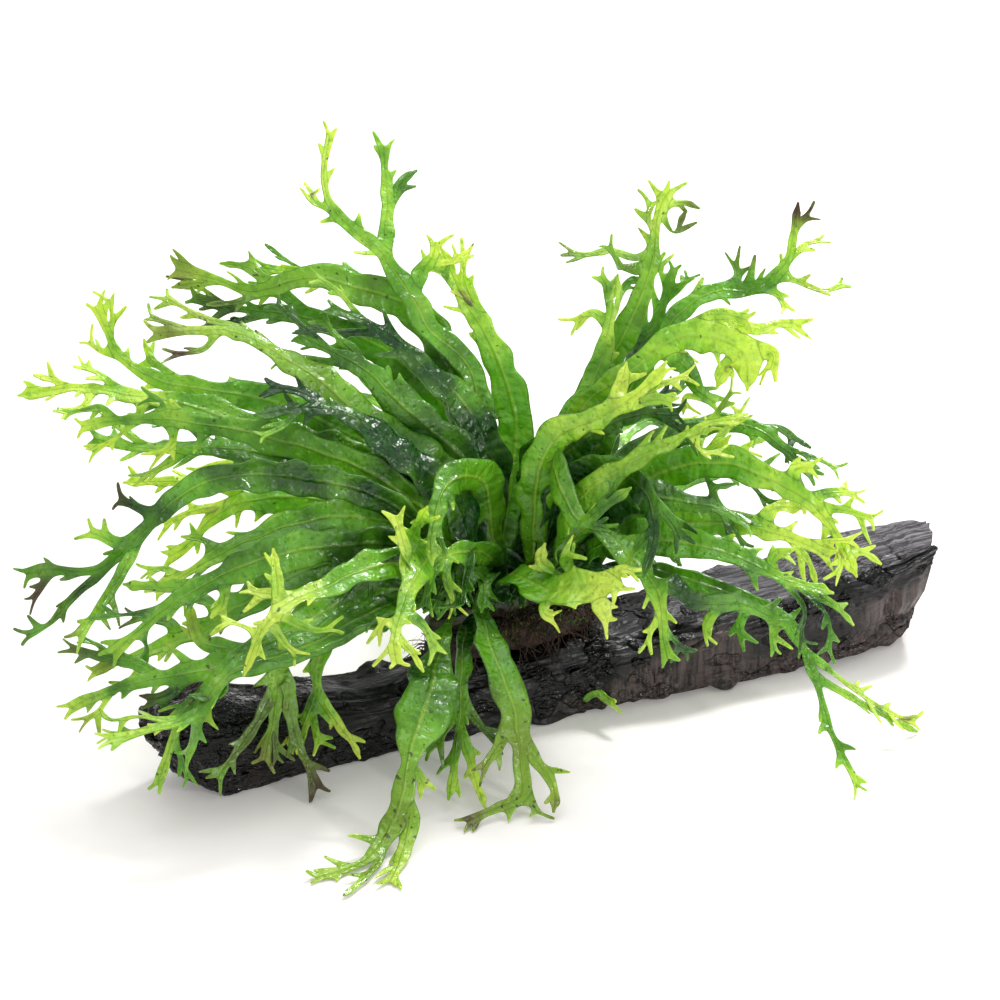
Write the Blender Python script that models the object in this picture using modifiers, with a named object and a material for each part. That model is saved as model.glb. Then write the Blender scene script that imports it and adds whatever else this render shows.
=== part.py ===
"""A java fern of the lace-tipped kind growing on a driftwood log. Metres, +Z up.

The log lies along X on its flat belly, and the origin is on that belly, under the middle of the
rhizome, the creeping stem that every frond grows from. The fronds are drawn as a person sees them who
stands in front of the plant and looks down on it: how far across, how far up and how much nearer than
the rhizome each point is. The same person sees the log turned away by LOG_TURN.
"""

from heapq import heappop, heappush
from math import cos, hypot, pi, radians, sin, sqrt

import bmesh
import bpy
from mathutils import Matrix, Vector, noise
from mathutils.bvhtree import BVHTree

MM = 0.001
GAP = 0.35  # clearance between pieces that touch, in mm, as are all the sizes below
LOG_TURN = radians(27.9)
LOOK_DOWN = radians(28)

# The log's sections along its length: place, front, back, underside and top.
LOG_SECTIONS = (
    (-101, -4, 2, 11, 17),
    (-98, -9, 7, 8, 21),
    (-91, -12, 9, 4, 23.5),
    (-84, -13, 10, 0, 24),
    (-62, -12, 9.5, 0, 20.5),
    (-40, -11, 9, 0, 17),
    (-18, -12.5, 9, 0, 17.5),
    (0, -14.5, 10, 0, 18.5),
    (16, -14, 10.5, 0, 19),
    (24, -17, 10, 0, 19.5),
    (45, -20, 8.5, 0, 20.5),
    (70, -22, 7, 0, 22),
    (88, -25, 5, 0, 24),
    (102, -24, 3.5, 1, 25),
    (110, -22, 3, 4, 25),
    (114, -18, -2, 8, 23),
)
LOG_RINGS = 28
LOG_RING_POINTS = 18
LOG_SQUARENESS = 3.2
BELLY_CUT = 1.0
LUMP_LENGTH = 21
LUMP_HEIGHT = 2.0
GRAIN_LENGTH = 34
GRAIN_HEIGHT = 1.6
BROKEN_END_DEPTH = 4
BROKEN_END_SHARE = 0.1

RHIZOME_RADIUS = 3.4
RHIZOME_HEIGHT = 28.5
RHIZOME_ROUTE = (
    (-21, 1.5, -1.5),
    (-14, -0.5, 0),
    (-6, 0.5, 0.4),
    (2, -0.4, 0),
    (10, 0.6, 0.5),
    (17, -0.6, 0),
    (24, 1, -1),
)
ROOT_MAT_HALF_LENGTH = 24
ROOT_MAT_HALF_DEPTH = 8
ROOT_MAT_CREST = 25.5

# What the fronds are drawn from, in the viewer's frame.
CROWN_HEIGHT = 29
FROND_THICKNESS = 0.6
STALK_WIDTH = 1.5
TIP_WIDTH = 0.9
FORK_OPENING = 1.9
COLLAR = 1.1  # how far a fork's root stands straight out from the edge of its blade
COLLAR_SHARE = 0.85
LEAST_LEAD = 1.5
STALK_RISE = 6  # how far a stalk runs straight out from the middle of the rhizome
BLADE_ROW_SPACING = 13
FORK_ROW_SPACING = 8.5
GROUND_CLEARANCE = 0.5
CURL = 0.3  # how far a fork curls nearer or further off for each mm of its length
FACING = (0, 0.25, 1)  # the way that the blades face, in the viewer's frame
TWIST_CARRIED_ON = 4
NECK_SHARE = 0.42  # the width of a blade's neck as a share of its full width
DEEP_GREEN = (0.01, 0.10, 0.01)
YOUNG_GREEN = (0.30, 0.60, 0.02)

# Each frond: name, place along the rhizome, blade width, roll in degrees, tone, route, forks. Its tone
# is 0 for a deep shaded green and 1 for a young yellow green.
# A route's points are across, up and near. A fork leaves the route at the point it counts, and its
# own points may leave out the near value: then it keeps curling the way that its frond was going.
FRONDS = (
    ("floor_frond_left", -9, 11, 10, 0.55,
     ((-14, -5, 20), (-18, -20, 40), (-21, -30, 46), (-24, -39, 50), (-25, -47, 51), (-29, -57, 54),
      (-34, -63, 60), (-41, -66, 64), (-48, -68, 67)),
     ((5.2, ((-25, -56, 51), (-27, -64, 60), (-29, -69, 69))),
      (6.6, ((-36, -67, 68), (-40, -71, 74))),
      (4.2, ((-22, -43, 50), (-20, -46, 50))))),
    ("floor_frond_middle", -3, 9.5, -8, 0.5,
     ((-7, 2, 8), (-4, -10, 22), (-1, -18, 30), (2, -26, 34), (3, -33, 36), (4, -41, 37), (4, -48, 37),
      (-2, -51, 38), (-7, -53, 40), (-11, -55, 43)),
     ((5, ((-2, -37, 37), (-5, -41, 38), (-7, -43, 38))),
      (5.4, ((8, -40, 37), (12, -46, 37), (12, -52, 39))),
      (7, ((7, -50, 38), (8, -53, 40))))),
    ("floor_frond_crest", -6, 8, 20, 0.4,
     ((-9, -5, 14), (-11, -19, 30), (-11, -26, 34), (-12, -36, 35), (-13, -44, 36), (-14, -49, 37)),
     ((3.2, ((-16, -34, 36), (-19, -37, 36), (-21, -38, 36))),
      (3.6, ((-10, -36, 35), (-7, -46, 36), (-5, -51, 38))),
      (3, ((-6, -31, 34), (-3, -34, 34), (0, -36, 34))))),
    ("floor_frond_right", 19, 6.5, -10, 0.5,
     ((30, 9, 10), (55, 2, 20), (70, -6, 22), (77, -20, 22), (81, -33, 25), (85, -41, 28), (88, -48, 30)),
     ((3.6, ((84, -20, 20), (91, -25, 12), (98, -29, 5), (104, -31, 1))),
      (4, ((86, -24, 19), (95, -29, 10), (103, -33, 6))))),
    ("front_curled", 7, 9, 20, 0.5,
     ((9, 20, 5), (8, 30, 6), (8, 38, 12), (11, 38, 20), (13, 30, 28), (18, 20, 35), (24, 23, 40),
      (31, 28, 42)),
     ((6.4, ((22, 19), (26, 18))),
      (7, ((27, 27), (27, 31))))),
    ("front_pale_arch", 0, 10, 12, 0.6,
     ((-3, 16, 8), (-5, 29, 18), (-10, 31, 27), (-15, 28, 34), (-18, 18, 40), (-18, 9, 43)),
     ((4.6, ((-22, 18), (-24, 14))),
      (5, ((-15, 13), (-14, 9))))),
    ("front_toothed", 4, 8.5, -20, 0.9,
     ((1, 6, 18), (10, 3, 28), (17, 3, 34), (26, 4, 40), (29, 1, 42)),
     ((2, ((8, 8), (9, 12))),
      (2.7, ((14, 8), (16, 11))),
      (3.8, ((24, 0), (26, -5))),
      (4, ((29, 6), (32, 6))),
      (2.4, ((12, -1), (15, -3))))),
    ("front_short_fork", -2, 7, 15, 0.4,
     ((-5, 12, 16), (-12, 12, 28), (-18, 7, 34), (-20, -3, 37)),
     ((2.6, ((-14, 4), (-12, -3))),
      (3, ((-23, 4), (-27, 2))))),
    ("front_dark_lobed", -12, 8, -30, 0.2,
     ((-16, 12, 26), (-28, 9, 38), (-36, 5, 42), (-41, -1, 44)),
     ((2.6, ((-33, 0), (-32, -6))),
      (3, ((-41, 8), (-44, 9))))),
    ("left_dark_cluster", -20, 8, -25, 0.3,
     ((-16, 14, 30), (-32, 26, 40), (-52, 31, 43), (-69, 31, 44), (-80, 26, 44), (-90, 17, 44),
      (-100, 8, 43), (-113, 8, 42), (-120, 6, 42)),
     ((7, ((-106, 2), (-113, -6), (-120, -9))),
      (6.4, ((-99, 16), (-104, 18))),
      (8, ((-114, 4), (-117, 0))),
      (6.2, ((-96, 5), (-101, -3), (-106, -10))),
      (5.6, ((-92, 24), (-97, 26))))),
    ("front_hanging_fork", -11, 9, -18, 0.5,
     ((-26, 5, 26), (-44, -1, 36), (-53, -8, 40), (-56, -15, 40), (-57, -27, 38), (-60, -41, 34)),
     ((4.2, ((-54, -26), (-52, -35), (-49, -41, 33), (-46, -48, 31))),
      (4.6, ((-62, -31), (-67, -38), (-72, -45))),
      (5.3, ((-57, -37), (-56, -41))))),
    ("front_hanging_narrow", -8, 7.5, 30, 0.55,
     ((-24, 2, 18), (-39, -5, 30), (-46, -13, 32), (-47, -23, 31), (-50, -31, 30), (-50, -36, 29)),
     ((4, ((-43, -28), (-38, -35), (-36, -39))),
      (4.6, ((-47, -32), (-45, -37))),
      (5.2, ((-53, -33), (-54, -36))))),
    ("left_spread", -18, 8.5, -20, 0.6,
     ((-16, 18, 26), (-36, 33, 33), (-56, 40, 34), (-76, 44, 33), (-92, 45, 32), (-107, 43, 31)),
     ((5, ((-97, 40), (-104, 36))),
      (5.4, ((-100, 48), (-110, 46))),
      (4.4, ((-82, 39), (-88, 35))),
      (4.6, ((-84, 49), (-90, 51))))),
    ("right_pale_arc", 12, 8, 16, 0.85,
     ((14, 36, 16), (20, 49, 22), (30, 56, 27), (42, 65, 31), (52, 65, 33), (60, 61, 34), (60, 52, 35)),
     ((3.8, ((45, 58), (48, 52), (54, 48)), ((2.2, ((44, 51), (46, 46))),)),
      (4.6, ((55, 69), (62, 68))),
      (5, ((62, 66), (69, 68), (75, 67))),
      (6, ((65, 60), (64, 55))),
      (5.6, ((55, 58), (53, 54))))),
    ("right_tall_narrow", 14, 8.5, 12, 0.65,
     ((16, 32, 10), (22, 51, 14), (29, 65, 17), (34, 76, 19), (37, 86, 21), (38, 96, 23), (42, 104, 24)),
     ((5, ((32, 85), (26, 87), (20, 86), (14, 87))),
      (6, ((42, 91), (45, 97))),
      (6.4, ((44, 99), (47, 98))),
      (4.6, ((29, 83), (25, 90))),
      (5.6, ((36, 95), (37, 101))))),
    ("front_star_left", -15, 8, -5, 0.85,
     ((-19, 10, 28), (-34, 8, 44), (-46, 3, 52), (-54, -1, 57), (-60, -8, 60), (-64, -18, 61)),
     ((4, ((-56, 6), (-57, 13))),
      (4.2, ((-50, -6), (-44, -7), (-41, -5))),
      (4.6, ((-54, -10), (-50, -14))),
      (5, ((-67, -5), (-72, -8))),
      (3.6, ((-60, 2), (-65, 4))))),
    ("left_arm_lower", -19, 9, -15, 0.55,
     ((-21, 5, 22), (-39, -5, 36), (-54, -12, 42), (-70, -16, 46), (-87, -19, 49), (-98, -22, 50),
      (-109, -27, 51)),
     ((5, ((-92, -15), (-101, -13), (-109, -11))),
      (6, ((-100, -27), (-105, -30))),
      (3.8, ((-75, -10), (-77, -5), (-78, 0))),
      (4, ((-73, -22), (-74, -31))),
      (4.6, ((-83, -23), (-90, -25))))),
    ("left_arm_low_crest", -16, 8.5, 12, 0.5,
     ((-26, 0, 27), (-51, -12, 46), (-64, -16, 53), (-70, -20, 56), (-76, -28, 58), (-88, -32, 60),
      (-99, -34, 60)),
     ((5.4, ((-90, -28), (-97, -29), (-99, -26))),
      (3.6, ((-73, -23), (-78, -23))),
      (5, ((-78, -34), (-80, -38))))),
    ("left_low_bright", -15, 9, 15, 0.75,
     ((-14, 16, 22), (-38, 21, 33), (-53, 19, 36), (-65, 14, 38), (-75, 9, 39), (-88, 1, 39)),
     ((4.6, ((-74, 15), (-80, 16))),
      (5, ((-78, 4), (-80, -2))),
      (5.5, ((-84, 8), (-90, 7))),
      (4, ((-62, 9), (-68, 4))))),
    ("left_low_fan", -17, 9, -15, 0.5,
     ((-20, 13, 26), (-42, 14, 38), (-62, 10, 44), (-78, 2, 46), (-90, -7, 46), (-98, -14, 46)),
     ((4, ((-83, 3), (-94, 4))),
      (4.6, ((-92, -3), (-102, -4))),
      (5, ((-88, -13), (-90, -18))),
      (3.5, ((-69, 1), (-71, -5))))),
    ("left_hanging_tips", -13, 8, 25, 0.5,
     ((-26, 8, 26), (-45, -3, 42), (-64, -13, 48), (-72, -20, 49), (-79, -28, 49), (-83, -38, 48),
      (-86, -47, 46)),
     ((4.6, ((-83, -30), (-90, -32), (-99, -33))),
      (5.6, ((-79, -40), (-77, -45))))),
    ("front_star_middle", -4, 8, 8, 0.8,
     ((-14, 12, 22), (-21, 8, 36), (-24, 1, 45), (-27, -9, 52), (-26, -17, 55)),
     ((2, ((-25, 14, 40), (-27, 23, 42))),
      (2.4, ((-19, 14, 42), (-17, 23, 44))),
      (3.6, ((-30, -5), (-32, -10))),
      (4, ((-23, -12), (-20, -17))),
      (3.4, ((-20, -6), (-16, -14))))),
    ("right_hanging_lobes", 11, 8.5, 18, 0.55,
     ((20, 18, 22), (30, 12, 34), (38, 2, 40), (39, -8, 42), (41, -16, 42)),
     ((2.8, ((43, -3), (50, -3), (58, -3), (66, -6), (73, -5)),
       ((2, ((49, -7), (51, -11))), (3, ((58, -7), (60, -11))), (4, ((66, -9), (67, -13))))),
      (3.6, ((36, -8), (35, -11))),
      (4, ((44, -12), (47, -14))))),
    ("right_low_crest", 16, 8.5, -14, 0.5,
     ((24, 14, 18), (40, 15, 30), (55, 12, 36), (65, 7, 39), (73, 4, 40), (81, 2, 40)),
     ((4.6, ((74, -2), (73, -8), (74, -12))),
      (5, ((79, -3), (80, -9), (79, -14))),
      (5.4, ((84, -1), (86, -5))),
      (4, ((67, 12), (72, 11))))),
    ("right_dark_arch", 8, 9, 25, 0.15,
     ((14, 26, 14), (22, 33, 26), (30, 31, 34), (35, 26, 38), (37, 17, 42), (34, 6, 45)),
     ((5, ((32, 13), (30, 8))),
      (4.4, ((40, 17), (43, 13))))),
    ("right_dark_broad", 13, 10.5, -20, 0.15,
     ((20, 22, 16), (32, 26, 24), (44, 25, 28), (55, 22, 31), (62, 18, 33)),
     ((3.6, ((52, 28), (57, 29))),
      (4, ((57, 17), (60, 12))))),
    ("right_bright_lace", 18, 8.5, 10, 0.9,
     ((28, 24, 12), (42, 33, 20), (55, 34, 25), (66, 30, 29), (76, 24, 31), (83, 15, 32), (87, 6, 32)),
     ((5, ((81, 27), (89, 26))),
      (5.3, ((86, 22), (93, 20))),
      (5.6, ((79, 17), (79, 11))),
      (6, ((84, 10), (81, 5))),
      (6.4, ((89, 12), (92, 10))),
      (4.4, ((72, 33), (78, 33))))),
    ("right_upper_lace", 9, 8, -18, 0.65,
     ((18, 25, 18), (33, 32, 30), (43, 34, 35), (51, 37, 38), (56, 41, 40)),
     ((3.6, ((50, 42), (52, 45))),
      (4, ((57, 37), (62, 38))),
      (4.4, ((58, 46), (57, 49))))),
    ("right_bright_spur", 6, 9, 15, 0.9,
     ((8, 30, 20), (13, 41, 26), (20, 44, 30), (28, 48, 34), (35, 53, 37), (41, 59, 38)),
     ((4, ((29, 54), (30, 59))),
      (4.4, ((38, 50), (43, 48))),
      (5, ((42, 55), (47, 56))))),
    ("right_spotted", 10, 8.5, -10, 0.8,
     ((14, 20, 20), (26, 31, 30), (38, 38, 36), (51, 44, 40), (58, 45, 42)),
     ((3.6, ((48, 37), (55, 37))),
      (4, ((54, 49), (57, 53))))),
    ("right_dark_leaning", 5, 9, 28, 0.15,
     ((12, 32, 14), (21, 41, 20), (32, 46, 24), (45, 46, 27)),
     ((3.2, ((38, 50), (42, 54))),
      (3.6, ((44, 42), (48, 39))))),
    ("right_dark_lace", 15, 8, -12, 0.3,
     ((26, 30, 6), (40, 40, 12), (52, 44, 15), (62, 43, 17), (70, 37, 18), (78, 30, 18)),
     ((4.4, ((68, 43), (76, 38))),
      (5, ((78, 35), (84, 32))),
      (5.4, ((73, 30), (72, 26))))),
    ("right_antler_tall", 17, 8, -8, 0.55,
     ((22, 36, 6), (37, 62, 12), (43, 71, 13), (52, 77, 13), (60, 77, 12), (67, 81, 12), (71, 86, 12),
      (73, 99, 13)),
     ((7, ((74, 89), (80, 90))),
      (7.6, ((74, 95), (76, 96))),
      (6.2, ((74, 79), (80, 77), (86, 80))),
      (5.6, ((68, 76), (71, 71))),
      (4.6, ((58, 81), (57, 85))))),
    ("right_tall_dark", 20, 8.5, -22, 0.35,
     ((20, 30, -2), (31, 57, 2), (37, 68, 4), (40, 76, 5), (43, 85, 6)),
     ((4, ((44, 78), (47, 82))),
      (4.4, ((39, 82), (38, 87))))),
    ("middle_broad_right", 3, 9.5, 8, 0.6,
     ((9, 22, 8), (19, 47, 14), (24, 60, 17), (27, 74, 18), (28, 81, 18)),
     ((3.6, ((21, 72), (16, 68))),
      (4, ((25, 79), (22, 82))),
      (4.3, ((30, 79), (33, 80))))),
    ("tall_antler_frond", -7, 6.5, 15, 0.7,
     ((-4, 30, 6), (-9, 58, 12), (-18, 66, 15), (-23, 75, 18), (-28, 82, 20), (-31, 87, 21),
      (-37, 91, 23), (-43, 98, 25), (-45, 105, 27), (-43, 118, 30)),
     ((6, ((-30, 93), (-29, 100), (-30, 108), (-30, 115)), ((2, ((-26, 104), (-22, 107))),)),
      (4.2, ((-21, 82), (-18, 85), (-17, 91)), ((2, ((-13, 84), (-11, 88))),)),
      (8, ((-47, 100), (-48, 103))))),
    ("top_bright_frond", -1, 9.5, -6, 0.85,
     ((1, 25, 0), (3, 44, 2), (0, 56, 3), (-4, 65, 4), (-9, 73, 4), (-12, 79, 5), (-16, 88, 5)),
     ((4.7, ((-11, 80, 4), (-10, 89, 4))),
      (6, ((-16, 82), (-20, 84))))),
    ("left_high_thin", -5, 6.5, 20, 0.5,
     ((-4, 30, -2), (-11, 55, -2), (-19, 68, -3), (-31, 77, -5), (-41, 83, -7), (-51, 82, -8),
      (-63, 84, -9)),
     ((5, ((-46, 79), (-50, 77))),
      (6, ((-56, 86), (-60, 89))))),
    ("left_high_broad", -10, 9.5, -12, 0.6,
     ((-9, 44, 10), (-20, 70, 14), (-30, 76, 16), (-37, 78, 16), (-45, 80, 15), (-52, 80, 14),
      (-63, 77, 13), (-72, 80, 12), (-84, 83, 11)),
     ((6.6, ((-64, 83), (-71, 84))),
      (7, ((-68, 75), (-74, 74))),
      (8, ((-78, 79), (-83, 78))))),
    ("left_glossy_upper", -4, 9.5, 28, 0.2,
     ((-2, 30, 10), (-9, 48, 16), (-18, 56, 20), (-26, 64, 22), (-34, 69, 23), (-45, 74, 24)),
     ((4.8, ((-43, 68), (-50, 69))),
      (5.2, ((-42, 76), (-48, 80))))),
    ("left_middle_fan", -16, 9, 18, 0.4,
     ((-16, 22, 22), (-36, 31, 28), (-56, 36, 28), (-74, 38, 27), (-90, 38, 25), (-104, 41, 24)),
     ((4.4, ((-84, 34), (-92, 30))),
      (5, ((-95, 42), (-101, 46))),
      (4, ((-78, 43), (-86, 45))),
      (3.5, ((-66, 33), (-73, 29))))),
    ("left_glossy_middle", -9, 10, -15, 0.2,
     ((-8, 30, 16), (-17, 41, 21), (-26, 49, 25), (-34, 57, 28), (-43, 62, 29), (-53, 67, 29)),
     ((4.8, ((-50, 60), (-58, 60))),
      (5.2, ((-54, 71), (-58, 75))),
      (4.4, ((-42, 66), (-46, 71))))),
    ("left_brown_tipped", -14, 9, 14, 0.6,
     ((-10, 26, 18), (-26, 40, 24), (-37, 47, 27), (-46, 55, 28), (-57, 62, 27), (-68, 67, 26),
      (-78, 67, 25), (-89, 66, 24)),
     ((6, ((-76, 70), (-86, 76))),
      (6.4, ((-75, 62), (-84, 61))),
      (7.2, ((-84, 69), (-90, 71))))),
    ("left_glossy_lower", -10, 10.5, 30, 0.1,
     ((-12, 24, 24), (-26, 37, 31), (-37, 45, 34), (-48, 48, 36), (-62, 46, 36)),
     ((3.8, ((-52, 52), (-60, 53))),
      (4.2, ((-55, 43), (-62, 40))))),
    ("left_upswept", -17, 8.5, -10, 0.65,
     ((-16, 26, 16), (-36, 40, 19), (-56, 49, 18), (-70, 52, 16), (-84, 54, 14), (-95, 60, 12),
      (-99, 67, 11), (-103, 75, 10)),
     ((6.4, ((-101, 62), (-105, 66))),
      (7, ((-98, 72), (-99, 77))),
      (5, ((-88, 60), (-90, 65))),
      (4.6, ((-84, 50), (-91, 49))))),
    ("left_outermost", -20, 8.5, 12, 0.75,
     ((-18, 24, 20), (-40, 36, 24), (-62, 43, 24), (-80, 49, 22), (-93, 51, 21), (-106, 53, 20),
      (-121, 51, 18)),
     ((5.4, ((-100, 56), (-107, 59))),
      (5.8, ((-105, 48), (-112, 47))),
      (4.8, ((-91, 46), (-98, 44))),
      (6.3, ((-113, 55), (-117, 56))))),
    ("left_back_bright", -21, 9, 10, 0.9,
     ((-20, 16, 2), (-39, 24, 4), (-54, 26, 4), (-64, 25, 3), (-73, 21, 1), (-80, 13, -1),
      (-86, 10, -2)),
     ((4.6, ((-79, 22), (-87, 18))),
      (4.2, ((-73, 28), (-84, 29), (-95, 29))),
      (3.4, ((-62, 31), (-70, 34), (-79, 31))))),
    ("left_low_outer", -19, 9, 20, 0.6,
     ((-24, 10, 20), (-44, 9, 30), (-62, 1, 35), (-75, -7, 37), (-90, -13, 38), (-104, -18, 38)),
     ((4.4, ((-84, -5), (-94, -4))),
      (5, ((-92, -19), (-99, -24))),
      (3.6, ((-74, 0), (-82, 2))),
      (5.5, ((-100, -11), (-106, -9))))),
    ("left_top_fan", -7, 9, -18, 0.4,
     ((-8, 36, 14), (-22, 56, 18), (-36, 66, 19), (-52, 71, 19), (-68, 73, 18), (-80, 76, 17)),
     ((4, ((-57, 76), (-64, 79))),
      (4.6, ((-68, 69), (-76, 68))),
      (5.4, ((-76, 78), (-82, 82))))),
    ("right_low_fan", 18, 9, 14, 0.75,
     ((26, 16, 16), (42, 19, 26), (58, 19, 31), (72, 15, 34), (82, 10, 36)),
     ((3.4, ((66, 23), (74, 23))),
      (4, ((75, 10), (77, 4))),
      (4.4, ((82, 15), (88, 15))))),
    ("back_left_arch", -11, 9, 10, 0.45,
     ((-10, 22, -14), (-20, 40, -26), (-32, 50, -38), (-44, 52, -47)),
     ((3, ((-36, 56), (-42, 60))),
      (3.4, ((-41, 46), (-47, 44))))),
    ("back_left_low", -17, 9, -12, 0.4,
     ((-20, 16, -16), (-38, 26, -28), (-54, 32, -36), (-66, 30, -42)),
     ((3, ((-58, 38), (-65, 42))),
      (3.4, ((-63, 27), (-68, 22))))),
    ("back_middle_arch", 1, 9, 14, 0.5,
     ((0, 24, -14), (-3, 38, -30), (-6, 44, -44), (-8, 42, -56)),
     ((3, ((-2, 48), (0, 52))),
      (3.4, ((-12, 43), (-15, 40))))),
    ("back_right_arch", 12, 9, -10, 0.45,
     ((14, 24, -12), (24, 38, -26), (36, 45, -38), (48, 44, -46)),
     ((3, ((40, 50), (46, 54))),
      (3.4, ((45, 39), (51, 36))))),
    ("back_right_low", 19, 9, 16, 0.4,
     ((26, 20, -12), (42, 30, -22), (56, 33, -30), (68, 30, -36)),
     ((3, ((60, 38), (67, 41))),
      (3.4, ((65, 26), (70, 23))))),
    ("small_leaf_underneath", None, 4.5, 5, 0.7,
     ((20, -25.5, -6), (22, -23.5, -7), (25, -25, -5), (29, -28, -1)),
     ()),
)

# A frond bends nearer or further off to pass its neighbours, in steps of this size.
BEND_STEP = 1.5
MOST_STEPS = 16
STEEPEST_BEND = 0.7
BLOCKED = 1000
# Its own forks stay clear of it by less, and each may start further out.
OWN_CLEARANCE = 0.08
FORK_PUSHES = (0, 1.2, 2.4, 3.6, 5)
SHARPEST_FOLD = 0.1
SHARPEST_TWIST = 0.1
NO_ROOM = 0.01
MOST_WAYS = 70
# Its foot may move along the rhizome, and the whole frond may roll, to find a clear way.
SLIPS = (0, 0.8, -0.8, 1.6, -1.6, 2.5, -2.5, 3.5, -3.5, 5, -5, 6.5, -6.5)
SWINGS = (0, 15, -15, 30, -30, 45)
ROLLS = (0, 25, -25, 45)


def clear_scene():
    for old in list(bpy.data.objects):
        bpy.data.objects.remove(old)


def collection(name):
    made = bpy.data.collections.new(name)
    bpy.context.scene.collection.children.link(made)
    return made


def material(name, colour, roughness):
    made = bpy.data.materials.new(name)
    made.use_nodes = True
    shader = made.node_tree.nodes["Principled BSDF"]
    shader.inputs["Base Color"].default_value = (*colour, 1)
    shader.inputs["Roughness"].default_value = roughness
    shader.inputs["Metallic"].default_value = 0
    made.diffuse_color = (*colour, 1)
    return made


def add_piece(name, mesh, home, look):
    piece = bpy.data.objects.new(name, mesh)
    piece.data.materials.append(look)
    home.objects.link(piece)
    return piece


# The viewer's frame ------------------------------------------------------------------------------

TO_GROUND = Matrix((
    (1, 0, 0),
    (0, sin(LOOK_DOWN), -cos(LOOK_DOWN)),
    (0, cos(LOOK_DOWN), sin(LOOK_DOWN)),
))
TO_WORLD = Matrix.Rotation(-LOG_TURN, 3, "Z") @ TO_GROUND
CROWN = Vector((0, 0, CROWN_HEIGHT))


def to_world(point):
    """A point of the viewer's frame in the log's own frame, in mm."""
    return TO_WORLD @ Vector(point) + CROWN


def to_viewer(point):
    return TO_WORLD.transposed() @ (Vector(point) - CROWN)


# Smooth lines ------------------------------------------------------------------------------------

STEPS = 8


def smooth(points):
    """STEPS places per span of the smooth curve through the points."""
    points = [Vector(p) for p in points]
    ends = [2 * points[0] - points[1], *points, 2 * points[-1] - points[-2]]
    line = []
    for a, b, c, d in zip(ends, ends[1:], ends[2:], ends[3:]):
        for step in range(STEPS):
            t = step / STEPS
            line.append(0.5 * (2 * b + (c - a) * t + (2 * a - 5 * b + 4 * c - d) * t * t
                               + (3 * b - a - 3 * c + d) * t ** 3))
    return [*line, points[-1]]


def table_value(table, column, place):
    """A column of a table at a place between two of its rows, which the first column counts."""
    for low, high in zip(table, table[1:]):
        if place <= high[0]:
            share = (place - low[0]) / (high[0] - low[0])
            share = share * share * (3 - 2 * share)
            return low[column] + share * (high[column] - low[column])
    return table[-1][column]


class Midrib:
    """A frond's or a fork's centre line, with the direction across the blade at every place."""

    def __init__(self, points, roll):
        self.line = smooth(points)
        self.reach = [0.0]
        for a, b in zip(self.line, self.line[1:]):
            self.reach.append(self.reach[-1] + (b - a).length)
        self.length = self.reach[-1]
        self.across = []
        last = None
        for i in range(len(self.line)):
            ahead = self.line[min(i + 1, len(self.line) - 1)] - self.line[max(i - 1, 0)]
            ahead.normalize()
            side = Matrix.Rotation(radians(roll), 3, ahead) @ ahead.cross(Vector(FACING))
            if last is not None:
                if side.dot(last) < 0:
                    side.negate()
                side += TWIST_CARRIED_ON * (last - last.dot(ahead) * ahead)
            last = side.normalized()
            self.across.append(last)

    def at(self, reach):
        reach = min(max(reach, 0), self.length)
        for i, (low, high) in enumerate(zip(self.reach, self.reach[1:])):
            if reach <= high:
                share = (reach - low) / (high - low)
                return (self.line[i].lerp(self.line[i + 1], share),
                        self.across[i].lerp(self.across[i + 1], share).normalized())
        return self.line[-1], self.across[-1]

    def reach_of(self, count):
        return self.reach[min(round(count * STEPS), len(self.reach) - 1)]


# The log -----------------------------------------------------------------------------------------

def log_point(place, angle):
    """A point of the log's surface: squarish sections with grain that runs along them."""
    front, back, under, top = (table_value(LOG_SECTIONS, i, place) for i in (1, 2, 3, 4))
    c, s = cos(angle), sin(angle)
    squared = 2 / LOG_SQUARENESS
    y = (back + front) / 2 + (back - front) / 2 * abs(c) ** squared * (1 if c > 0 else -1)
    z = (top + under) / 2 + (top - under) / 2 * abs(s) ** squared * (1 if s > 0 else -1)
    lumps = LUMP_HEIGHT * noise.noise(Vector((place / LUMP_LENGTH, 1.6 * c, 1.6 * s + 4)))
    grain = GRAIN_HEIGHT * noise.noise(Vector((place / GRAIN_LENGTH + 9, 3.6 * c, 3.6 * s)))
    out = lumps + grain
    y += out * c
    z += out * s - BELLY_CUT
    return Vector((place, y, max(z, 0)))


def make_log(home, look):
    bm = bmesh.new()
    first, last = LOG_SECTIONS[0][0], LOG_SECTIONS[-1][0]
    rings = []
    for i in range(LOG_RINGS):
        share = i / (LOG_RINGS - 1)
        place = first + (last - first) * (share - 0.035 * sin(2 * pi * share))
        ring = []
        for j in range(LOG_RING_POINTS):
            angle = 2 * pi * j / LOG_RING_POINTS
            point = log_point(place, angle)
            nearness = max(0, share - 1 + BROKEN_END_SHARE) - max(0, BROKEN_END_SHARE - share)
            end = BROKEN_END_DEPTH * nearness / BROKEN_END_SHARE
            point.x += end * noise.noise(Vector((2.2 * cos(angle), 2.2 * sin(angle), 7 * share)))
            ring.append(bm.verts.new(point * MM))
        rings.append([bm.edges.new((a, b)) for a, b in zip(ring, ring[1:] + ring[:1])])
    for low, high in zip(rings, rings[1:]):
        bmesh.ops.bridge_loops(bm, edges=low + high)
    for ring in (rings[0], rings[-1]):
        bmesh.ops.contextual_create(bm, geom=ring)
    bmesh.ops.triangulate(bm, faces=[face for face in bm.faces if len(face.verts) > 4])
    bmesh.ops.recalc_face_normals(bm, faces=bm.faces)
    mesh = bpy.data.meshes.new("driftwood")
    bm.to_mesh(mesh)
    bm.free()
    mesh.shade_smooth()
    mesh.set_sharp_from_angle(angle=radians(40))
    return add_piece("driftwood", mesh, home, look)


# The rhizome and its roots -----------------------------------------------------------------------

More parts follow.
